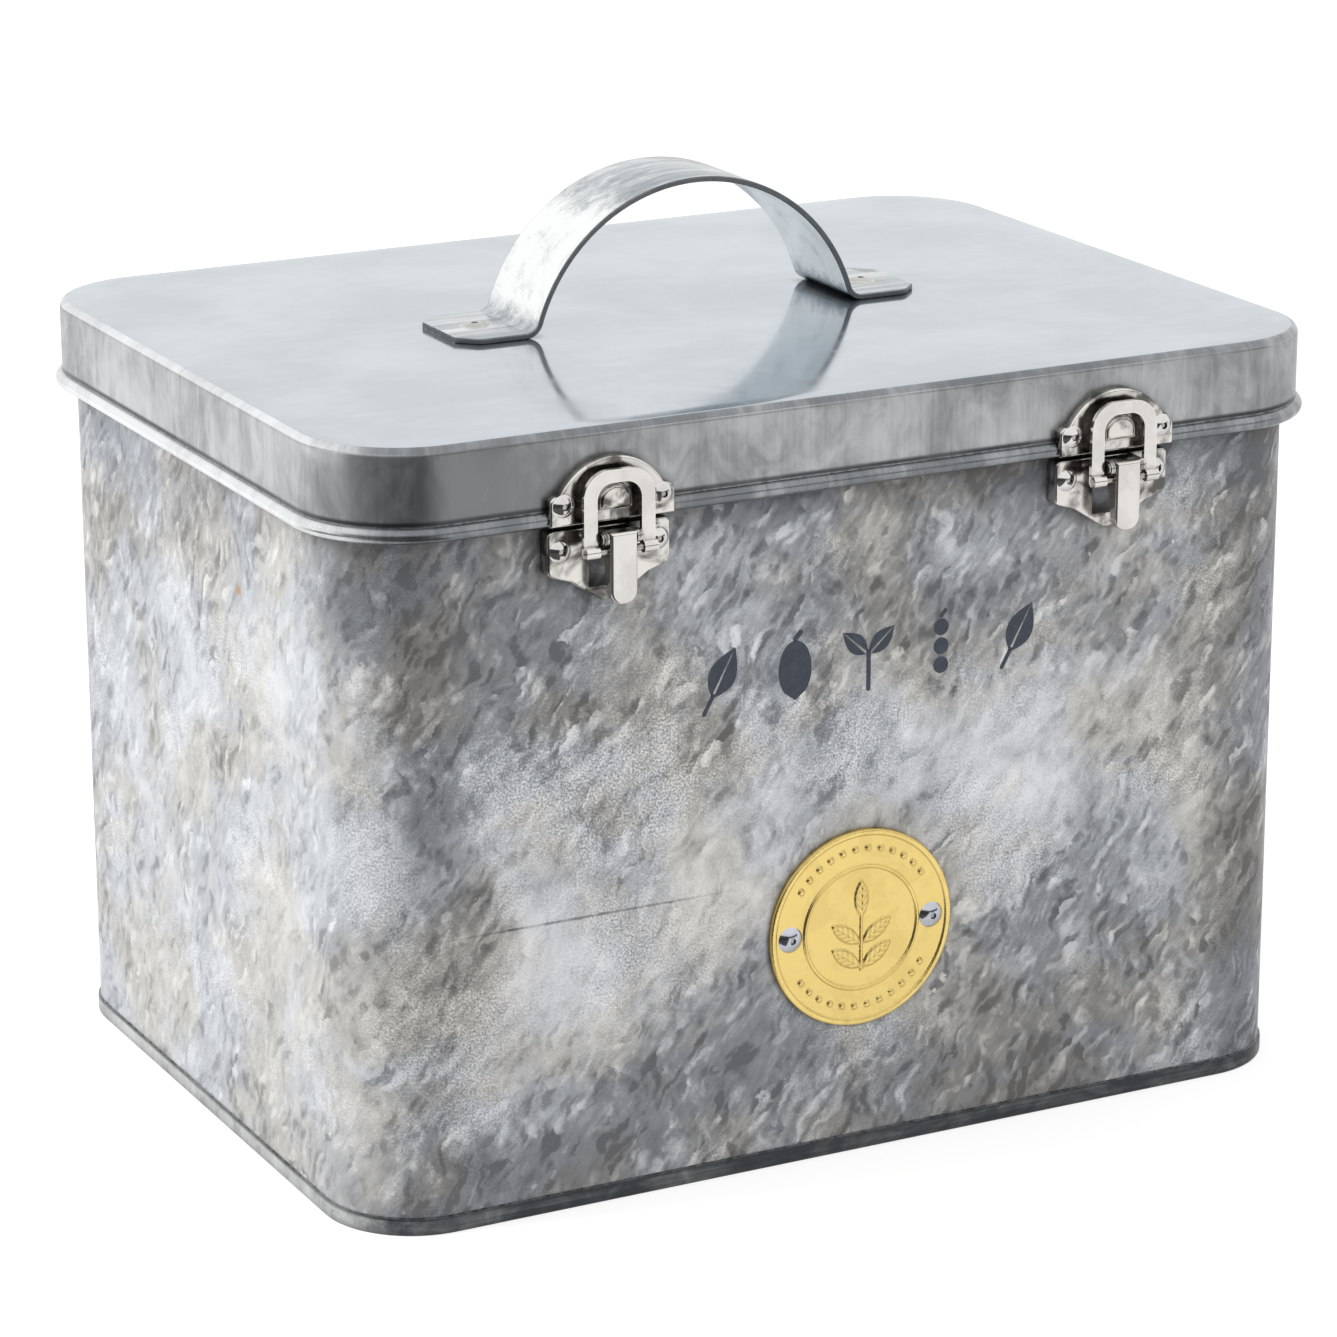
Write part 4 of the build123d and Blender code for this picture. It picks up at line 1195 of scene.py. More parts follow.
class Draft:
    """Points and faces of one mesh while it is being made."""

    def __init__(self) -> None:
        """Starts an empty draft."""
        self.points: list[Vector] = []
        self.faces: list[tuple[int, ...]] = []
        self.maps: list[tuple[Point2, ...]] = []
        self.slots: list[int] = []

    def row(self, points: Iterable[Sequence[float]]) -> list[int]:
        """Adds points.

        Args:
            points: Their places.

        Returns:
            Their numbers.
        """
        start = len(self.points)
        self.points.extend(Vector(point) for point in points)
        return list(range(start, len(self.points)))

    def face(self, corners: Sequence[int], slot: int = 0, spots: Sequence[Point2] = ()) -> None:
        """Adds a face.

        Args:
            corners: Numbers of its points, anticlockwise from outside.
            slot: Its material slot.
            spots: Its corners on the UV map. Without them, X and Z of each point stand in.
        """
        self.faces.append(tuple(corners))
        self.slots.append(slot)
        self.maps.append(
            tuple(spots) or tuple((self.points[i].x, self.points[i].z) for i in corners)
        )

    def strip(
        self, first: Sequence[int], second: Sequence[int], closed: bool, slots: Sequence[int] = (),
        spots: Sequence[Sequence[Point2]] = ()
    ) -> None:
        """Joins two rows of points with four-sided faces.

        Args:
            first: The lower row's numbers.
            second: The upper row's numbers.
            closed: Whether each row's end joins its start.
            slots: The material slot of each face. Without them, all have the first one.
            spots: Both rows on the UV map, with one spot more than points in closed rows.
        """
        count = len(first)
        for i in range(count if closed else count - 1):
            j = (i + 1) % count
            mapped = (spots[0][i], spots[0][i + 1], spots[1][i + 1], spots[1][i]) if spots else ()
            slot = slots[i] if slots else 0
            self.face((first[i], first[j], second[j], second[i]), slot, mapped)

    def build(self, name: str, crease: float = 40.0) -> bpy.types.Object:
        """Makes the object.

        Args:
            name: The piece's name.
            crease: Edges that turn more than this stay sharp, in degrees.

        Returns:
            The object, with its own mesh.
        """
        mesh = bpy.data.meshes.new(name)
        mesh.from_pydata([tuple(point) for point in self.points], [], self.faces)
        layer = mesh.uv_layers.new(name="sheet")
        spots = [spot for face in self.maps for spot in face]
        layer.data.foreach_set("uv", [value for spot in spots for value in spot])
        mesh.polygons.foreach_set("material_index", self.slots)
        mesh.polygons.foreach_set("use_smooth", [True] * len(self.faces))
        mesh.set_sharp_from_angle(angle=math.radians(crease))
        mesh.validate()
        made = in_scene(name, mesh)
        return made


def arc(middle: Point2, radius: float, start: float, end: float, steps: int) -> list[Point2]:
    """Points on an arc.

    Args:
        middle: The arc's middle.
        radius: Its radius.
        start: Angle of its first point, in degrees.
        end: Angle of its last point, in degrees.
        steps: How many steps it has.

    Returns:
        Its points, both ends among them.
    """
    angles = [math.radians(start + (end - start) * i / steps) for i in range(steps + 1)]
    return [(middle[0] + radius * math.cos(a), middle[1] + radius * math.sin(a)) for a in angles]


@dataclass(frozen=True)
class RoundedOutline:
    """A rounded rectangle seen from above.

    Attributes:
        width: Its length along X.
        depth: Its length along Y.
        radius: Its corner radius.
        corner_steps: Steps in each corner.
        side_steps: Steps along each side.
    """

    width: float
    depth: float
    radius: float
    corner_steps: int = 18
    side_steps: int = 12

    def ring(self, offset: float = 0.0) -> list[Point2]:
        """Goes round once, anticlockwise from the middle of the back.

        Args:
            offset: How far outside the outline the ring runs.

        Returns:
            The ring's points, as many for every offset.
        """
        half_width = self.width / 2 + offset
        half_depth = self.depth / 2 + offset
        radius = max(self.radius + offset, mm(2.0))
        middle_x, middle_y = half_width - radius, half_depth - radius
        corners = (
            (-middle_x, middle_y, 90), (-middle_x, -middle_y, 180), (middle_x, -middle_y, 270),
            (middle_x, middle_y, 0)
        )
        points: list[Point2] = [(0.0, half_depth)]
        for x, y, start in corners:
            bow = arc((x, y), radius, start, start + 90, self.corner_steps)
            points += self.between(points[-1], bow[0])
            points += bow
        points += self.between(points[-1], points[0])
        return points

    def between(self, start: Point2, end: Point2) -> list[Point2]:
        """Points on a side, without its two ends.

        Args:
            start: Where the side starts.
            end: Where it ends.

        Returns:
            The points between.
        """
        shares = [i / self.side_steps for i in range(1, self.side_steps)]
        return [
            (start[0] + (end[0] - start[0]) * s, start[1] + (end[1] - start[1]) * s) for s in shares
        ]

    def along(self) -> list[float]:
        """How far along the wall each of the ring's points lies, from the middle of the front."""
        ring = self.ring()
        ring.append(ring[0])
        places = [0.0]
        for one, two in zip(ring, ring[1:]):
            places.append(places[-1] + math.dist(one, two))
        return [place - places[-1] / 2 for place in places]


def sweep(
    draft: Draft, outline: RoundedOutline, profile: Sequence[Point2], slot_at: Callable[[int], int],
    capped: bool
) -> None:
    """Carries a profile round an outline.

    Args:
        draft: Takes the points and faces.
        outline: What the profile goes round.
        profile: Offset and height of each of its points, going up outside.
        slot_at: The material slot of the profile's nth run.
        capped: Whether flat faces close both ends; otherwise the profile's end joins its start.
    """
    along = outline.along()
    rows = [
        draft.row((x, y, height) for x, y in outline.ring(offset)) for offset, height in profile
    ]
    pairs = list(zip(range(len(rows)), range(1, len(rows))))
    if not capped:
        pairs.append((len(rows) - 1, 0))
    for number, (low, high) in enumerate(pairs):
        spots = [[(u, profile[i][1]) for u in along] for i in (low, high)]
        draft.strip(rows[low], rows[high], True, [slot_at(number)] * len(rows[low]), spots)
    if capped:
        draft.face(tuple(reversed(rows[0])), slot_at(0))
        draft.face(rows[-1], slot_at(len(pairs) - 1))


def dress(piece: bpy.types.Object, *finishes: Finish) -> bpy.types.Object:
    """Gives a piece its materials.

    Args:
        piece: The piece.
        finishes: One finish for each material slot.

    Returns:
        The piece.
    """
    for finish in finishes:
        piece.data.materials.append(finish.material())
    return piece


def settle(piece: bpy.types.Object, body: str, slot: str, *nodes: str) -> bpy.types.Object:
    """Lets a piece ride on its body and stand for CAD nodes, and reports it.

    Args:
        piece: The piece, in place.
        body: The body that it moves with.
        slot: Not used.
        nodes: The nodes that it replaces.

    Returns:
        The piece.
    """
    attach(piece, body)
    if nodes:
        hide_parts(*nodes)
    LOG.info("%s rides on %s, %d faces", piece.name, body, len(piece.data.polygons))
    return piece


def dress_nodes(finish: Finish, *nodes: str) -> None:
    """Gives CAD nodes their material and reports each.

    Args:
        finish: Their finish.
        nodes: Their names.
    """
    for name in nodes:
        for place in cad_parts[name].material_slots:
            place.material = finish.material()
        LOG.info("%s wears %s", name, finish.name)


# ------------------------------------------------------------------ sub-assemblies


@dataclass(frozen=True)
class BodyShell:
    """The upright body sheet with its hem.

    Attributes:
        outline: Outside of the wall.
        sheet: Thickness.
        foot: Height of its lower edge.
        top: Height of its hem's top.
        hem: Height of the hem.
        proud: How far the hem stands out.
    """

    outline: RoundedOutline = RoundedOutline(*mm(218.8, 160.8, 19.4))
    sheet: float = mm(0.7)
    foot: float = mm(0.6)
    top: float = mm(160.7)
    hem: float = mm(2.4)
    proud: float = mm(0.8)

    def profile(self) -> list[Point2]:
        """Offsets and heights from the foot up the outside, over the hem and down the inside."""
        hem_middle = self.top - self.hem / 2
        radius = self.hem / 2
        hem_arc = arc((self.proud - radius, hem_middle), radius, -56, 118, 10)
        heights = [self.foot + (hem_middle - radius - self.foot) * i / 10 for i in range(11)]
        outside = [(0.0, height) for height in heights]
        return outside + hem_arc + [(-self.sheet, hem_middle), (-self.sheet, self.foot)]

    def build(self) -> None:
        """Builds and dresses the body."""
        draft = Draft()
        profile = self.profile()
        inside = len(profile) - 2
        sweep(draft, self.outline, profile, lambda run: 1 if run >= inside - 1 else 0, False)
        piece = dress(draft.build("body_sheet"), FINISHES.wall, FINISHES.inside)
        settle(piece, "box", "body_sheet", "body_shell")


@dataclass(frozen=True)
class BasePan:
    """The floor sheet whose edge is rolled round the body's foot.

    Attributes:
        outline: Outside of the body's wall.
        body_sheet: Thickness of the body's wall.
        sheet: Thickness of the pan.
        seam: Height of the rolled seam.
        proud: How far the seam stands out.
        floor: Height of the floor's underside.
    """

    outline: RoundedOutline = RoundedOutline(*mm(218.8, 160.8, 19.4))
    body_sheet: float = mm(0.7)
    sheet: float = mm(0.6)
    seam: float = mm(3.8)
    proud: float = mm(0.55)
    floor: float = mm(2.2)

    def profile(self) -> list[Point2]:
        """Offsets and heights from the floor's underside round the seam to the floor's top."""
        back = -self.body_sheet - self.sheet
        bend = self.proud
        foot = arc((0.0, bend), bend, -90, 0, 5)
        head = arc((0.0, self.seam - bend), bend, 0, 90, 5)
        inner = [
            (0.0, self.sheet), (-self.body_sheet, self.sheet),
            (-self.body_sheet, self.floor + self.sheet)
        ]
        return [(back, self.floor), (back, 0.0)] + foot + head + inner

    def build(self) -> None:
        """Builds and dresses the pan."""
        draft = Draft()
        sweep(draft, self.outline, self.profile(), lambda run: 0, True)
        piece = dress(draft.build("base_seam"), FINISHES.seam)
        settle(piece, "box", "base_sheet", "base_pan")


class LidSlot(Enum):
    """Material slots of the lid."""

    TOP = 0
    SKIRT = 1
    INSIDE = 2
    RIM = 3


@dataclass(frozen=True)
class LidShell:
    """The lid, folded down to a skirt with a rolled rim.

    Attributes:
        outline: Outside of the skirt.
        sheet: Thickness.
        top: Height of its top, closed.
        fold: Radius of the fold, outside.
        rim_middle: Height of the rim's middle.
        rim: Radius of the rolled rim.
        rim_proud: How far the rim stands out.
        inside_steps: Steps round the fold on the inside.
        rim_steps: Steps round the rim.
        skirt_steps: Steps up the skirt.
        fold_steps: Steps round the fold on the outside.
        flat: Offsets of the rings that carry on across the top.
    """

    outline: RoundedOutline = RoundedOutline(*mm(225.0, 167.0, 22.5))
    sheet: float = mm(0.7)
    top: float = mm(161.7)
    fold: float = mm(1.8)
    rim_middle: float = mm(144.7)
    rim: float = mm(1.6)
    rim_proud: float = mm(1.4)
    inside_steps: int = 5
    rim_steps: int = 16
    skirt_steps: int = 4
    fold_steps: int = 8
    flat: tuple[float, ...] = (-mm(6.0), -mm(14.0))

    def profile(self) -> list[Point2]:
        """Offsets and heights: down the inside, round the rim, up the skirt and over the fold."""
        inner = self.fold - self.sheet
        inside = list(
            reversed(arc((-self.fold, self.top - self.fold), inner, 0, 90, self.inside_steps))
        )
        bead_middle = (self.rim_proud - self.rim, self.rim_middle)
        bead = arc(bead_middle, self.rim, -108, 82, self.rim_steps)
        skirt_foot = self.rim_middle + self.rim + mm(0.25)
        skirt_head = self.top - self.fold
        rise = skirt_head - skirt_foot
        skirt = [(0.0, skirt_foot + rise * i / self.skirt_steps) for i in range(self.skirt_steps)]
        bend = arc((-self.fold, skirt_head), self.fold, 0, 90, self.fold_steps)
        flat = [(offset, self.top) for offset in self.flat]
        return inside + [(-self.sheet, self.rim_middle)] + bead + skirt + bend + flat

    def slot_at(self, run: int) -> int:
        """Returns the material slot of a run between two rings of the profile."""
        rim_start = self.inside_steps + 1
        rim_end = rim_start + 1 + self.rim_steps
        folded = len(self.profile()) - len(self.flat) - self.fold_steps // 2
        if run < rim_start:
            return LidSlot.INSIDE.value
        # The rim bead and a strip round the top fold take the rim's finish, which paints a
        # highlight on them on the left side.
        if run < rim_end or folded - 4 < run < folded + 2:
            return LidSlot.RIM.value
        return LidSlot.SKIRT.value if run < folded else LidSlot.TOP.value

    def build(self) -> None:
        """Builds and dresses the lid."""
        draft = Draft()
        sweep(draft, self.outline, self.profile(), self.slot_at, True)
        piece = dress(
            draft.build("lid_sheet"), FINISHES.lid_top, FINISHES.lid_skirt, FINISHES.inside,
            FINISHES.lid_rim
        )
        settle(piece, "lid", "lid_sheet", "lid_shell")


@dataclass(frozen=True)
class HandleStrap:
    """The bent strap on the lid.

    Attributes:
        width: Width of the strap.
        sheet: Its thickness.
        lid_top: Height of the lid that it stands on.
        half_span: Where the arch meets the lid, from the middle.
        rise: Height of the arch above the feet.
        bend: Radius of the bend at each foot, middle of the sheet.
        foot: Length of a foot.
        clip: How much is clipped off a foot's corners.
        edge: Radius of the strap's edges.
        arch_steps: Steps along half of the arch.
        bend_steps: Steps round a bend.
        foot_steps: Steps along a foot.
        faces: Columns of the section on the two faces, each with a step of the rounding after it.
    """

    width: float = mm(24.0)
    sheet: float = mm(1.2)
    lid_top: float = mm(161.7)
    half_span: float = mm(37.0)
    rise: float = mm(29.0)
    bend: float = mm(3.4)
    foot: float = mm(17.0)
    clip: float = mm(4.0)
    edge: float = mm(0.35)
    arch_steps: int = 32
    bend_steps: int = 8
    foot_steps: int = 12
    faces: tuple[int, ...] = (4, 5, 14, 15)

    def half_path(self) -> list[tuple[float, float, float]]:
        """Middle line from the top of the arch to a foot's end: X, Z and the angle it runs at."""
        low = self.lid_top + self.sheet / 2
        radius = (self.half_span**2 + self.rise**2) / (2 * self.rise)
        middle = low + self.rise - radius
        bend_z = low + self.bend
        bend_x = math.sqrt((radius + self.bend) ** 2 - (bend_z - middle) ** 2)
        end = math.degrees(math.atan2(bend_z - middle, bend_x))
        path: list[tuple[float, float, float]] = []
        for i in range(self.arch_steps + 1):
            angle = 90 + (end - 90) * i / self.arch_steps
            x = radius * math.cos(math.radians(angle))
            z = middle + radius * math.sin(math.radians(angle))
            path.append((x, z, angle - 90))
        for i in range(1, self.bend_steps + 1):
            angle = end + 180 + (270 - end - 180) * i / self.bend_steps
            x = bend_x + self.bend * math.cos(math.radians(angle))
            z = bend_z + self.bend * math.sin(math.radians(angle))
            path.append((x, z, angle - 270))
        foot_end = self.half_span + self.foot
        start = path[-1][0]
        for i in range(1, self.foot_steps + 1):
            path.append((start + (foot_end - start) * i / self.foot_steps, low, 0.0))
        return path

    def section(self, half_width: float) -> list[Point2]:
        """Goes round the strap's section: place along Y and height.

        Args:
            half_width: Half of the strap's width here.

        Returns:
            The section's points, anticlockwise seen against X.
        """
        half = self.sheet / 2
        points: list[Point2] = []
        for y, z, start in ((1, 1, 0), (-1, 1, 90), (-1, -1, 180), (1, -1, 270)):
            middle = (y * (half_width - self.edge), z * (half - self.edge))
            points += arc(middle, self.edge, start, start + 90, 4)
        return points

    def build(self) -> None:
        """Builds and dresses the strap."""
        draft = Draft()
        right = self.half_path()
        left = [(-x, z, -angle) for x, z, angle in reversed(right[1:])]
        foot_end = self.half_span + self.foot
        rows: list[list[int]] = []
        runs: list[float] = []
        length = 0.0
        last: Union[Point2, None] = None
        for x, z, angle in left + right:
            clipped = max(0.0, abs(x) - (foot_end - self.clip))
            half_width = self.width / 2 - clipped
            turn = math.radians(angle)
            row = []
            for y, height in self.section(half_width):
                row.append((x - math.sin(turn) * height, y, z + math.cos(turn) * height))
            rows.append(draft.row(row))
            length += math.dist(last, (x, z)) if last else 0.0
            runs.append(length)
            last = (x, z)
        sides = [y for y, _ in self.section(self.width / 2)]
        sides.append(sides[0])
        slots = [0 if column in self.faces else 1 for column in range(len(sides) - 1)]
        for i in range(len(rows) - 1):
            spots = [[(runs[k], y) for y in sides] for k in (i, i + 1)]
            draft.strip(rows[i], rows[i + 1], True, slots, spots)
        draft.face(tuple(reversed(rows[0])), 1)
        draft.face(tuple(rows[-1]), 1)
        piece = dress(
            draft.build("handle_strap_sheet", 50.0), FINISHES.handle, FINISHES.handle_edge
        )
        settle(piece, "lid", "handle_sheet", "handle_strap")


@dataclass(frozen=True)
class Plaque:
    """The round brass plaque with its sprig.

    Attributes:
        middle: X and Z of its middle.
        wall: Y of the wall that it is fixed to.
        radius: Its radius.
        sheet: Its thickness.
        relief: How far its ornament stands out.
        rim: Width of its rim.
        ring: Radius of its inner ring.
        ring_width: Width of the ring.
        rivets: Distance of each rivet from the middle; not used.
        beads: How many raised dots each arc has.
        bead: Radius of a dot.
        bead_circle: Radius of the dots' circle.
        bead_arc: Angle of each arc of dots, in degrees.
        sprig: Length of the sprig.
        stem: Width of its stem.
        leaf: Length of a leaf.
        leaf_width: Width of a leaf.
        pair_rise: Distance between its pairs of leaves.
        slope: Slope of the leaves, in degrees.
    """

    middle: Point2 = mm(1.2, 49.0)
    wall: float = -mm(80.4)
    radius: float = mm(21.0)
    sheet: float = mm(0.9)
    relief: float = mm(0.4)
    rim: float = mm(1.3)
    ring: float = mm(13.1)
    ring_width: float = mm(0.8)
    rivets: float = mm(16.4)
    beads: int = 12
    bead: float = mm(0.75)
    bead_circle: float = mm(17.0)
    bead_arc: float = 110.0
    sprig: float = mm(19.0)
    stem: float = mm(0.8)
    leaf: float = mm(8.6)
    leaf_width: float = mm(3.6)
    pair_rise: float = mm(5.2)
    slope: float = 35.0

    def leaves(self) -> list[tuple[float, float]]:
        """Foot height from the middle and slope of each leaf."""
        foot = -self.sprig / 2
        places = [(foot + self.sprig * 0.6, 90.0)]
        for pair in range(2):
            rise = foot + self.stem + pair * self.pair_rise
            places += [(rise, self.slope), (rise, 180.0 - self.slope)]
        return places

    def leaf_height(self, x: float, z: float) -> float:
        """Works out how high the leaves stand at a point, 0 to 1.

        Args:
            x: Across, from the middle.
            z: Up, from the middle.

        Returns:
            The height's share of the relief.
        """
        best = 0.0
        for foot, slope in self.leaves():
            cos, sin = math.cos(math.radians(slope)), math.sin(math.radians(slope))
            along = x * cos + (z - foot) * sin
            across = -x * sin + (z - foot) * cos
            if not 0 < along < self.leaf:
                continue
            half = self.leaf_width / 2
            bow = (self.leaf**2 / 4 + half**2) / (2 * half)
            edge = math.sqrt(bow**2 - (along - self.leaf / 2) ** 2) - (bow - half)
            if edge <= 0 or abs(across) >= edge:
                continue
            share = abs(across) / edge
            dome = min(1.0, (1 - share) * edge / mm(0.45)) * (0.72 + 0.28 * (1 - share))
            rib = max(0.0, 1 - abs(across) / mm(0.2))
            vein = 0.12 * math.cos(2 * math.pi * (along - abs(across) * 0.9) / mm(1.5))
            best = max(best, min(1.0, dome * (0.86 + vein) + 0.10 * rib) - 0.35 * rib * (1 - share))
        return best

    def height(self, x: float, z: float) -> float:
        """Works out how far the face stands out at a point.

        Args:
            x: Across, from the middle.
            z: Up, from the middle.

        Returns:
            The height above the field.
        """
        reach = math.hypot(x, z)

        def ridge(distance: float, half: float) -> float:
            """Returns how high a ridge stands at a distance from its middle, 0 to 1."""
            share = abs(distance) / half
            return math.sqrt(1 - share * share) if share < 1 else 0.0

        high = ridge(reach - (self.radius - self.rim / 2), self.rim / 2 + mm(0.05))
        high = max(high, ridge(reach - self.ring, self.ring_width / 2))
        if reach < self.ring - self.ring_width:
            high = max(high, self.leaf_height(x, z))
            foot = -self.sprig / 2
            if foot < z < foot + self.sprig * 0.7:
                high = max(high, 0.8 * ridge(x, self.stem / 2))
        elif reach > self.ring + self.ring_width:
            for side in (90.0, 270.0):
                step = self.bead_arc / (self.beads - 1)
                turn = math.degrees(math.atan2(z, x)) % 360 - side
                number = round((turn + self.bead_arc / 2) / step)
                if 0 <= number < self.beads:
                    angle = math.radians(side - self.bead_arc / 2 + number * step)
                    far = math.hypot(
                        x - self.bead_circle * math.cos(angle),
                        z - self.bead_circle * math.sin(angle)
                    )
                    high = max(high, ridge(far, self.bead))
        hammered = 0.03 * math.sin(
            x * 2900 + 3 * math.sin(z * 1300)
        ) * math.sin(z * 2500 + 3 * math.sin(x * 1100))
        return self.relief * (high + hammered * (1 - high))

    def build(self) -> None:
        """Builds and dresses the plaque."""
        draft = Draft()
        steps, rounds = 288, 150
        front = self.wall - self.sheet
        rows: list[list[int]] = []
        for ring in range(1, rounds + 1):
            reach = self.radius * ring / rounds
            row = []
            for step in range(steps):
                angle = 2 * math.pi * step / steps
                x, z = reach * math.cos(angle), reach * math.sin(angle)
                row.append((self.middle[0] + x, front - self.height(x, z), self.middle[1] + z))
            rows.append(draft.row(row))
        centre = draft.row([(self.middle[0], front - self.height(0, 0), self.middle[1])])[0]
        for step in range(steps):
            after = (step + 1) % steps
            draft.face((centre, rows[0][step], rows[0][after]))
        for inner, outer in zip(rows, rows[1:]):
            draft.strip(outer, inner, True)
        edge = []
        for step in range(steps):
            angle = 2 * math.pi * step / steps
            x, z = self.radius * math.cos(angle), self.radius * math.sin(angle)
            edge.append((self.middle[0] + x, self.wall, self.middle[1] + z))
        back = draft.row(edge)
        draft.strip(back, rows[-1], True)
        draft.face(back[::-1])
        piece = dress(draft.build("plaque_relief", 60.0), FINISHES.plaque)
        settle(piece, "box", "plaque_brass", "plaque")


class Mark(Enum):
    """Small generic marks of the front's print."""

    SEED = "seed"
    SPROUT = "sprout"
    LEAF = "leaf"
    POD = "pod"


@dataclass(frozen=True)
class FrontPrint:
    """A row of small printed marks on the front wall.

    Attributes:
        wall: Y of the wall.
        ink: How thick the ink is.
        height: Height of the row's middle.
        size: Height of a mark.
        marks: Each mark and its X, in millimetres.
    """

    wall: float = -mm(80.4)
    ink: float = mm(0.04)
    height: float = mm(106.5)
    size: float = mm(14.0)
    marks: tuple[tuple[float, Mark], ...] = (
        (-31.5, Mark.LEAF),
        (-14.0, Mark.SEED),
        (2.8, Mark.SPROUT),
        (19.6, Mark.POD),
        (37.0, Mark.LEAF),
    )

    def blade(self, foot: Point2, turn: float, length: float, width: float) -> list[list[Point2]]:
        """Outlines the two halves of a leaf, with a bare line for its midrib.

        Args:
            foot: Where the leaf starts.
            turn: Its direction in degrees, anticlockwise from X.
            length: Its length.
            width: Its width.

        Returns:
            One outline for each half.
        """
        cos, sin = math.cos(math.radians(turn)), math.sin(math.radians(turn))
        halves: list[list[Point2]] = []
        for side in (1, -1):
            outer = []
            inner = []
            for i in range(25):
                share = i / 24
                bow = math.sin(math.pi * share**0.85) * width / 2
                rib = min(bow, mm(0.28) * (1.15 - share))
                for row, across in ((outer, bow), (inner, rib)):
                    a, b = share * length, side * across
                    row.append((foot[0] + a * cos - b * sin, foot[1] + a * sin + b * cos))
            loop = inner + outer[-2:0:-1]
            halves.append(loop if side < 0 else loop[::-1])
        return [half[::-1] for half in halves]

    def bar(self, start: Point2, end: Point2, width: float) -> list[Point2]:
        """Outlines a thin stem with round ends.

        Args:
            start: Where it starts.
            end: Where it ends.
            width: Its width.

        Returns:
            The outline.
        """
        turn = math.degrees(math.atan2(end[1] - start[1], end[0] - start[0]))
        return arc(end, width / 2, turn - 90, turn + 90, 6) + arc(
            start, width / 2, turn + 90, turn + 270, 6
        )

    def outlines(self, mark: Mark) -> list[list[Point2]]:
        """Returns the outlines of a mark, about its own middle.

        Args:
            mark: Which mark.
        """
        half = self.size / 2
        if mark is Mark.SEED:
            grain = [(x * 0.62, z) for x, z in arc((0.0, -mm(0.6)), half * 0.86, -50, 230, 40)]
            return [grain + [(0.0, -half)], self.bar((0.0, mm(5.8)), (mm(1.2), half), mm(1.1))]
        if mark is Mark.SPROUT:
            stem = self.bar((0.0, -half), (0.0, mm(0.8)), mm(1.0))
            pair = self.blade((mm(0.3), mm(0.4)), 42, mm(7.6), mm(4.0))
            pair += self.blade((-mm(0.3), mm(0.4)), 138, mm(7.6), mm(4.0))
            return [stem] + pair
        if mark is Mark.POD:
            beans = [arc((0.0, z), mm(1.75), 0, 352, 30) for z in mm(-4.4, -0.4, 3.6)]
            return beans + [self.bar((0.0, mm(6.0)), (mm(0.9), half), mm(0.9))]
        stem = self.bar((-mm(3.0), -half), (-mm(1.0), -mm(3.4)), mm(0.9))
        return [stem] + self.blade((-mm(1.2), -mm(3.8)), 62, mm(11.0), mm(6.2))

    def build(self) -> None:
        """Builds and dresses the print."""
        draft = Draft()
        for x, mark in self.marks:
            for outline in self.outlines(mark):
                front = [(mm(x) + a, self.wall - self.ink, self.height + b) for a, b in outline]
                back = [(mm(x) + a, self.wall - mm(0.005), self.height + b) for a, b in outline]
                low, high = draft.row(back), draft.row(front)
                draft.strip(low, high, True)
                draft.face(high)
        piece = dress(draft.build("front_print"), FINISHES.ink)
        settle(piece, "box", "body_sheet")


@dataclass(frozen=True)
class Hardware:
    """The pressed parts whose solids show as they are.

    Attributes:
        sides: The two sides that each fitting comes in.
        cards: How many index cards there are.
    """

    sides: tuple[str, ...] = ("left", "right")
    cards: int = 12

    def dress_latches(self) -> None:
        """Dresses both latches."""
        for side in self.sides:
            dress_nodes(FINISHES.latch_plate, f"strike_plate_{side}", f"latch_base_{side}")
            dress_nodes(FINISHES.latch, f"latch_lever_{side}", f"latch_loop_{side}")
            dress_nodes(FINISHES.latch_rivet, f"strike_rivets_{side}", f"latch_base_rivets_{side}")
            dress_nodes(FINISHES.latch_pin, f"lever_pin_{side}", f"link_pin_{side}")

    def dress_hinges(self) -> None:
        """Dresses both hinges."""
        for side in self.sides:
            dress_nodes(FINISHES.hinge, f"hinge_lid_leaf_{side}", f"hinge_body_leaf_{side}")
            dress_nodes(FINISHES.hinge, f"hinge_lid_rivets_{side}", f"hinge_body_rivets_{side}")
            dress_nodes(FINISHES.hinge_pin, f"hinge_pin_{side}")

    def dress_rest(self) -> None:
        """Dresses the other rivets, the partition and the cards."""
        dress_nodes(FINISHES.handle_rivet, "handle_rivets")
        dress_nodes(FINISHES.plaque_rivet, "plaque_rivets")
        dress_nodes(FINISHES.partition, "partition")
        dress_nodes(
            FINISHES.card, *(f"index_card_{number:02d}" for number in range(1, self.cards + 1))
        )

    def build(self) -> None:
        """Dresses every fitting."""
        self.dress_latches()
        self.dress_hinges()
        self.dress_rest()


# ------------------------------------------------------------------ studio


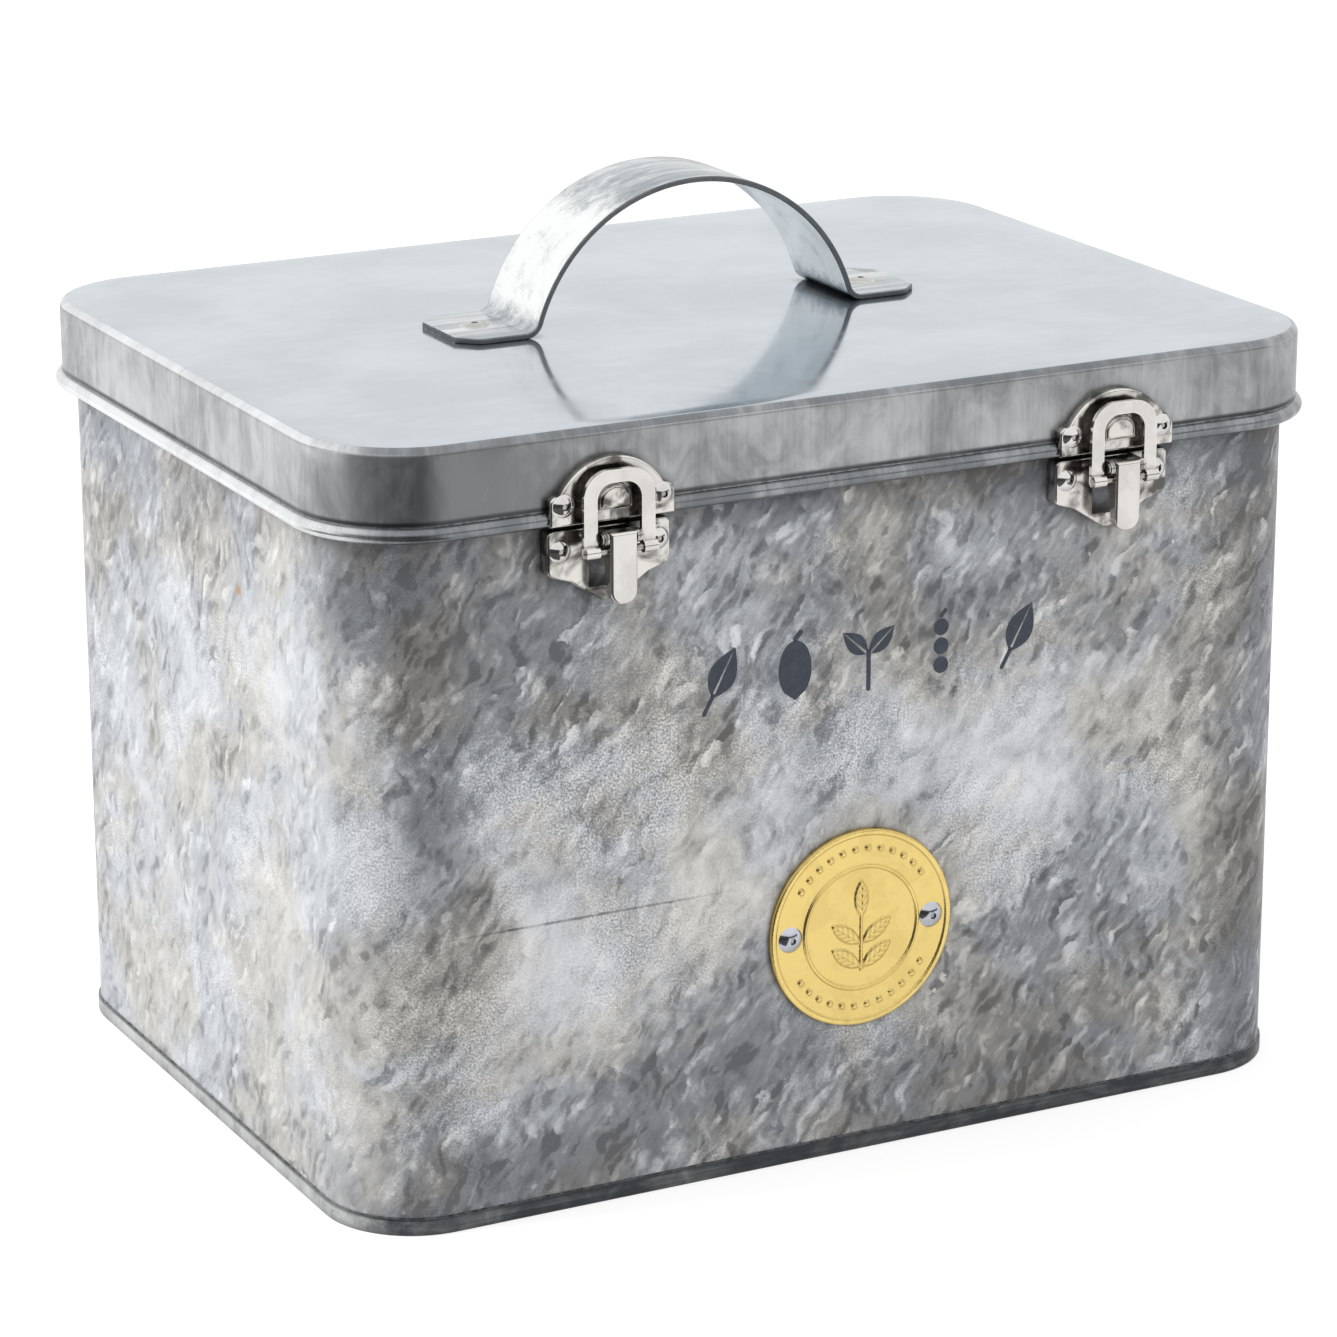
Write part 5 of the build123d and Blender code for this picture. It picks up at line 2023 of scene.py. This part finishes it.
@dataclass(frozen=True)
class Card:
    """A stage card that only shows in reflections.

    Attributes:
        name: Its name.
        middle: Where its middle is.
        width: Its width.
        height: Its height.
        facing: The direction that it faces.
        level: How bright it is, 0 black and 1 white.
    """

    name: str
    middle: tuple[float, float, float]
    width: float
    height: float
    facing: tuple[float, float, float]
    level: float

    def build(self) -> None:
        """Builds the card."""
        mesh = bpy.data.meshes.new(self.name)
        a, b = self.width / 2, self.height / 2
        mesh.from_pydata([(-a, -b, 0), (a, -b, 0), (a, b, 0), (-a, b, 0)], [], [(0, 1, 2, 3)])
        card = in_scene(self.name, mesh)
        card.rotation_mode = "QUATERNION"
        card.rotation_quaternion = Vector(self.facing).to_track_quat("Z", "Y")
        card.location = self.middle
        material = bpy.data.materials.new(self.name)
        desk = Desk.emptied(material)
        glow = desk.node("ShaderNodeEmission")
        glow.inputs["Color"].default_value = (self.level, self.level, self.level, 1.0)
        output = desk.node("ShaderNodeOutputMaterial")
        desk.feed(output.inputs[0], glow.outputs[0])
        mesh.materials.append(material)
        card.visible_camera = False
        card.visible_diffuse = False
        card.visible_transmission = False
        card.visible_shadow = False


@dataclass(frozen=True)
class Lamp:
    """A square area lamp.

    Attributes:
        name: Its name.
        place: Where it is.
        aim: Where it points.
        size: Its side.
        power: Its power in watts.
        glossy: Whether it shows in reflections.
    """

    name: str
    place: tuple[float, float, float]
    aim: tuple[float, float, float]
    size: float
    power: float
    glossy: bool

    def build(self) -> None:
        """Builds the lamp."""
        data = bpy.data.lights.new(self.name, "AREA")
        data.size = self.size
        data.energy = self.power
        lamp = in_scene(self.name, data)
        lamp.location = self.place
        away = Vector(self.place) - Vector(self.aim)
        lamp.rotation_mode = "QUATERNION"
        lamp.rotation_quaternion = away.to_track_quat("Z", "Y")
        lamp.visible_glossy = self.glossy


@dataclass(frozen=True)
class Studio:
    """White surroundings with soft light.

    Attributes:
        sky: Brightness of the surroundings as light on the object.
        floor_size: Side of the floor.
        floor_albedo: How much light the floor throws back.
        floor_glow: What the floor adds on its own to show white.
        mirrored_glow: The same as seen in reflections.
        lamps: The lamps.
        cards: The cards in the reflections.
    """

    sky: float = 0.72
    floor_size: float = 6.0
    floor_albedo: float = 0.45
    floor_glow: float = 0.68
    mirrored_glow: float = 0.42
    lamps: tuple[Lamp, ...] = (
        Lamp("key", (-1.30, 0.45, 0.95), (0.0, 0.0, 0.08), 0.7, 24.0, False),
        Lamp("fill", (0.5, -1.6, 1.5), (0.0, 0.0, 0.08), 1.2, 12.8, False),
    )
    cards: tuple[Card, ...] = (
        Card("corner_flag", (-0.36, -0.50, 0.14), 1.00, 0.28, (0.70, 0.71, 0.0), 0.05),
        Card("corner_floor_flag", (-0.33, -0.44, 0.001), 0.60, 0.62, (0.0, 0.0, 1.0), 0.10),
        Card("skirt_corner_flag", (-0.55, 0.03, 0.001), 0.46, 0.36, (0.0, 0.0, 1.0), 0.10),
        Card("front_flag", (0.45, -0.95, 0.23), 1.60, 0.18, (-0.35, 0.94, 0.0), 0.05),
    )

    def build_world(self) -> None:
        """Builds the white surroundings."""
        world = bpy.data.worlds.new("studio")
        bpy.context.scene.world = world
        desk = Desk.emptied(world)
        seen = self.seen_directly(desk)
        level = desk.math("ADD", desk.math("MULTIPLY", seen, 1.0 - self.sky), self.sky)
        background = desk.node("ShaderNodeBackground")
        background.inputs["Color"].default_value = (1.0, 1.0, 1.0, 1.0)
        desk.feed(background.inputs["Strength"], level)
        output = desk.node("ShaderNodeOutputWorld")
        desk.feed(output.inputs[0], background.outputs[0])

    def seen_directly(self, desk: Desk) -> bpy.types.NodeSocket:
        """Returns 1 for camera, glossy and transmission rays.

        Args:
            desk: The desk of the tree that asks.
        """
        path = desk.node("ShaderNodeLightPath")
        mirrored = desk.math(
            "MAXIMUM", path.outputs["Is Glossy Ray"], path.outputs["Is Transmission Ray"]
        )
        return desk.math("MAXIMUM", path.outputs["Is Camera Ray"], mirrored)

    def build_floor(self) -> None:
        """Builds the floor, which shows white and keeps the box's shadow."""
        half = self.floor_size / 2
        mesh = bpy.data.meshes.new("floor")
        mesh.from_pydata(
            [(-half, -half, 0), (half, -half, 0), (half, half, 0), (-half, half, 0)], [],
            [(0, 1, 2, 3)]
        )
        floor = in_scene("floor", mesh)
        material = bpy.data.materials.new("floor_white")
        desk = Desk.emptied(material)
        shader = desk.node("ShaderNodeBsdfPrincipled")
        grey = (self.floor_albedo, self.floor_albedo, self.floor_albedo, 1.0)
        shader.inputs["Base Color"].default_value = grey
        shader.inputs["Roughness"].default_value = 1.0
        shader.inputs["Specular IOR Level"].default_value = 0.0
        shader.inputs["Emission Color"].default_value = (1.0, 1.0, 1.0, 1.0)
        path = desk.node("ShaderNodeLightPath")
        direct = desk.math(
            "MULTIPLY", path.outputs["Is Camera Ray"], self.floor_glow - self.mirrored_glow
        )
        mirrored = desk.math("MULTIPLY", self.seen_directly(desk), self.mirrored_glow)
        desk.feed(shader.inputs["Emission Strength"], desk.math("ADD", direct, mirrored))
        output = desk.node("ShaderNodeOutputMaterial")
        desk.feed(output.inputs[0], shader.outputs[0])
        mesh.materials.append(material)

    def build(self) -> None:
        """Builds surroundings, floor, lamps and cards."""
        self.build_world()
        self.build_floor()
        for lamp in self.lamps:
            lamp.build()
        for card in self.cards:
            card.build()
        bpy.context.scene.view_settings.view_transform = "Standard"


@dataclass(frozen=True)
class Viewpoint:
    """The camera.

    Attributes:
        yaw: Turn about Z, in degrees.
        pitch: Angle above the horizon, in degrees.
        roll: Roll, in degrees.
        distance: Distance from the point that it circles.
        aim: The point that it circles.
        slide: How far it is moved along its own X and Y.
        lens: Focal length in millimetres, on a 36 mm sensor.
    """

    yaw: float = -27.325
    pitch: float = 17.187
    roll: float = -0.108
    distance: float = mm(1049.733)
    aim: tuple[float, float, float] = mm(0.0, 0.0, 80.0)
    slide: Point2 = mm(-0.746, 1.984)
    lens: float = 130.92

    def build(self) -> None:
        """Builds the camera and makes it the scene's own."""
        yaw, pitch, roll = (math.radians(angle) for angle in (self.yaw, self.pitch, self.roll))
        back = Vector(
            (math.sin(yaw) * math.cos(pitch), -math.cos(yaw) * math.cos(pitch), math.sin(pitch))
        )
        right = Vector((math.cos(yaw), math.sin(yaw), 0.0))
        up = back.cross(right)
        across = right * math.cos(roll) + up * math.sin(roll)
        upward = up * math.cos(roll) - right * math.sin(roll)
        place = Vector(
            self.aim
        ) + back * self.distance + across * self.slide[0] + upward * self.slide[1]
        data = bpy.data.cameras.new("camera")
        data.lens = self.lens
        data.sensor_width = 36.0
        data.clip_start = 0.01
        camera = in_scene("camera", data)
        turn = Matrix((across, upward, back)).transposed().to_4x4()
        camera.matrix_world = Matrix.Translation(place) @ turn
        bpy.context.scene.camera = camera


def write_sizes() -> None:
    """Updates the view layer."""
    bpy.context.view_layer.update()


def main() -> None:
    """Builds every part of the scene in order."""
    logging.basicConfig(level=logging.INFO, format="%(message)s")
    parts = (BodyShell(), BasePan(), LidShell(), HandleStrap(), Plaque(), FrontPrint(), Hardware())
    for part in parts:
        part.build()
    Studio().build()
    Viewpoint().build()
    write_sizes()


if __name__ == "__main__":
    main()
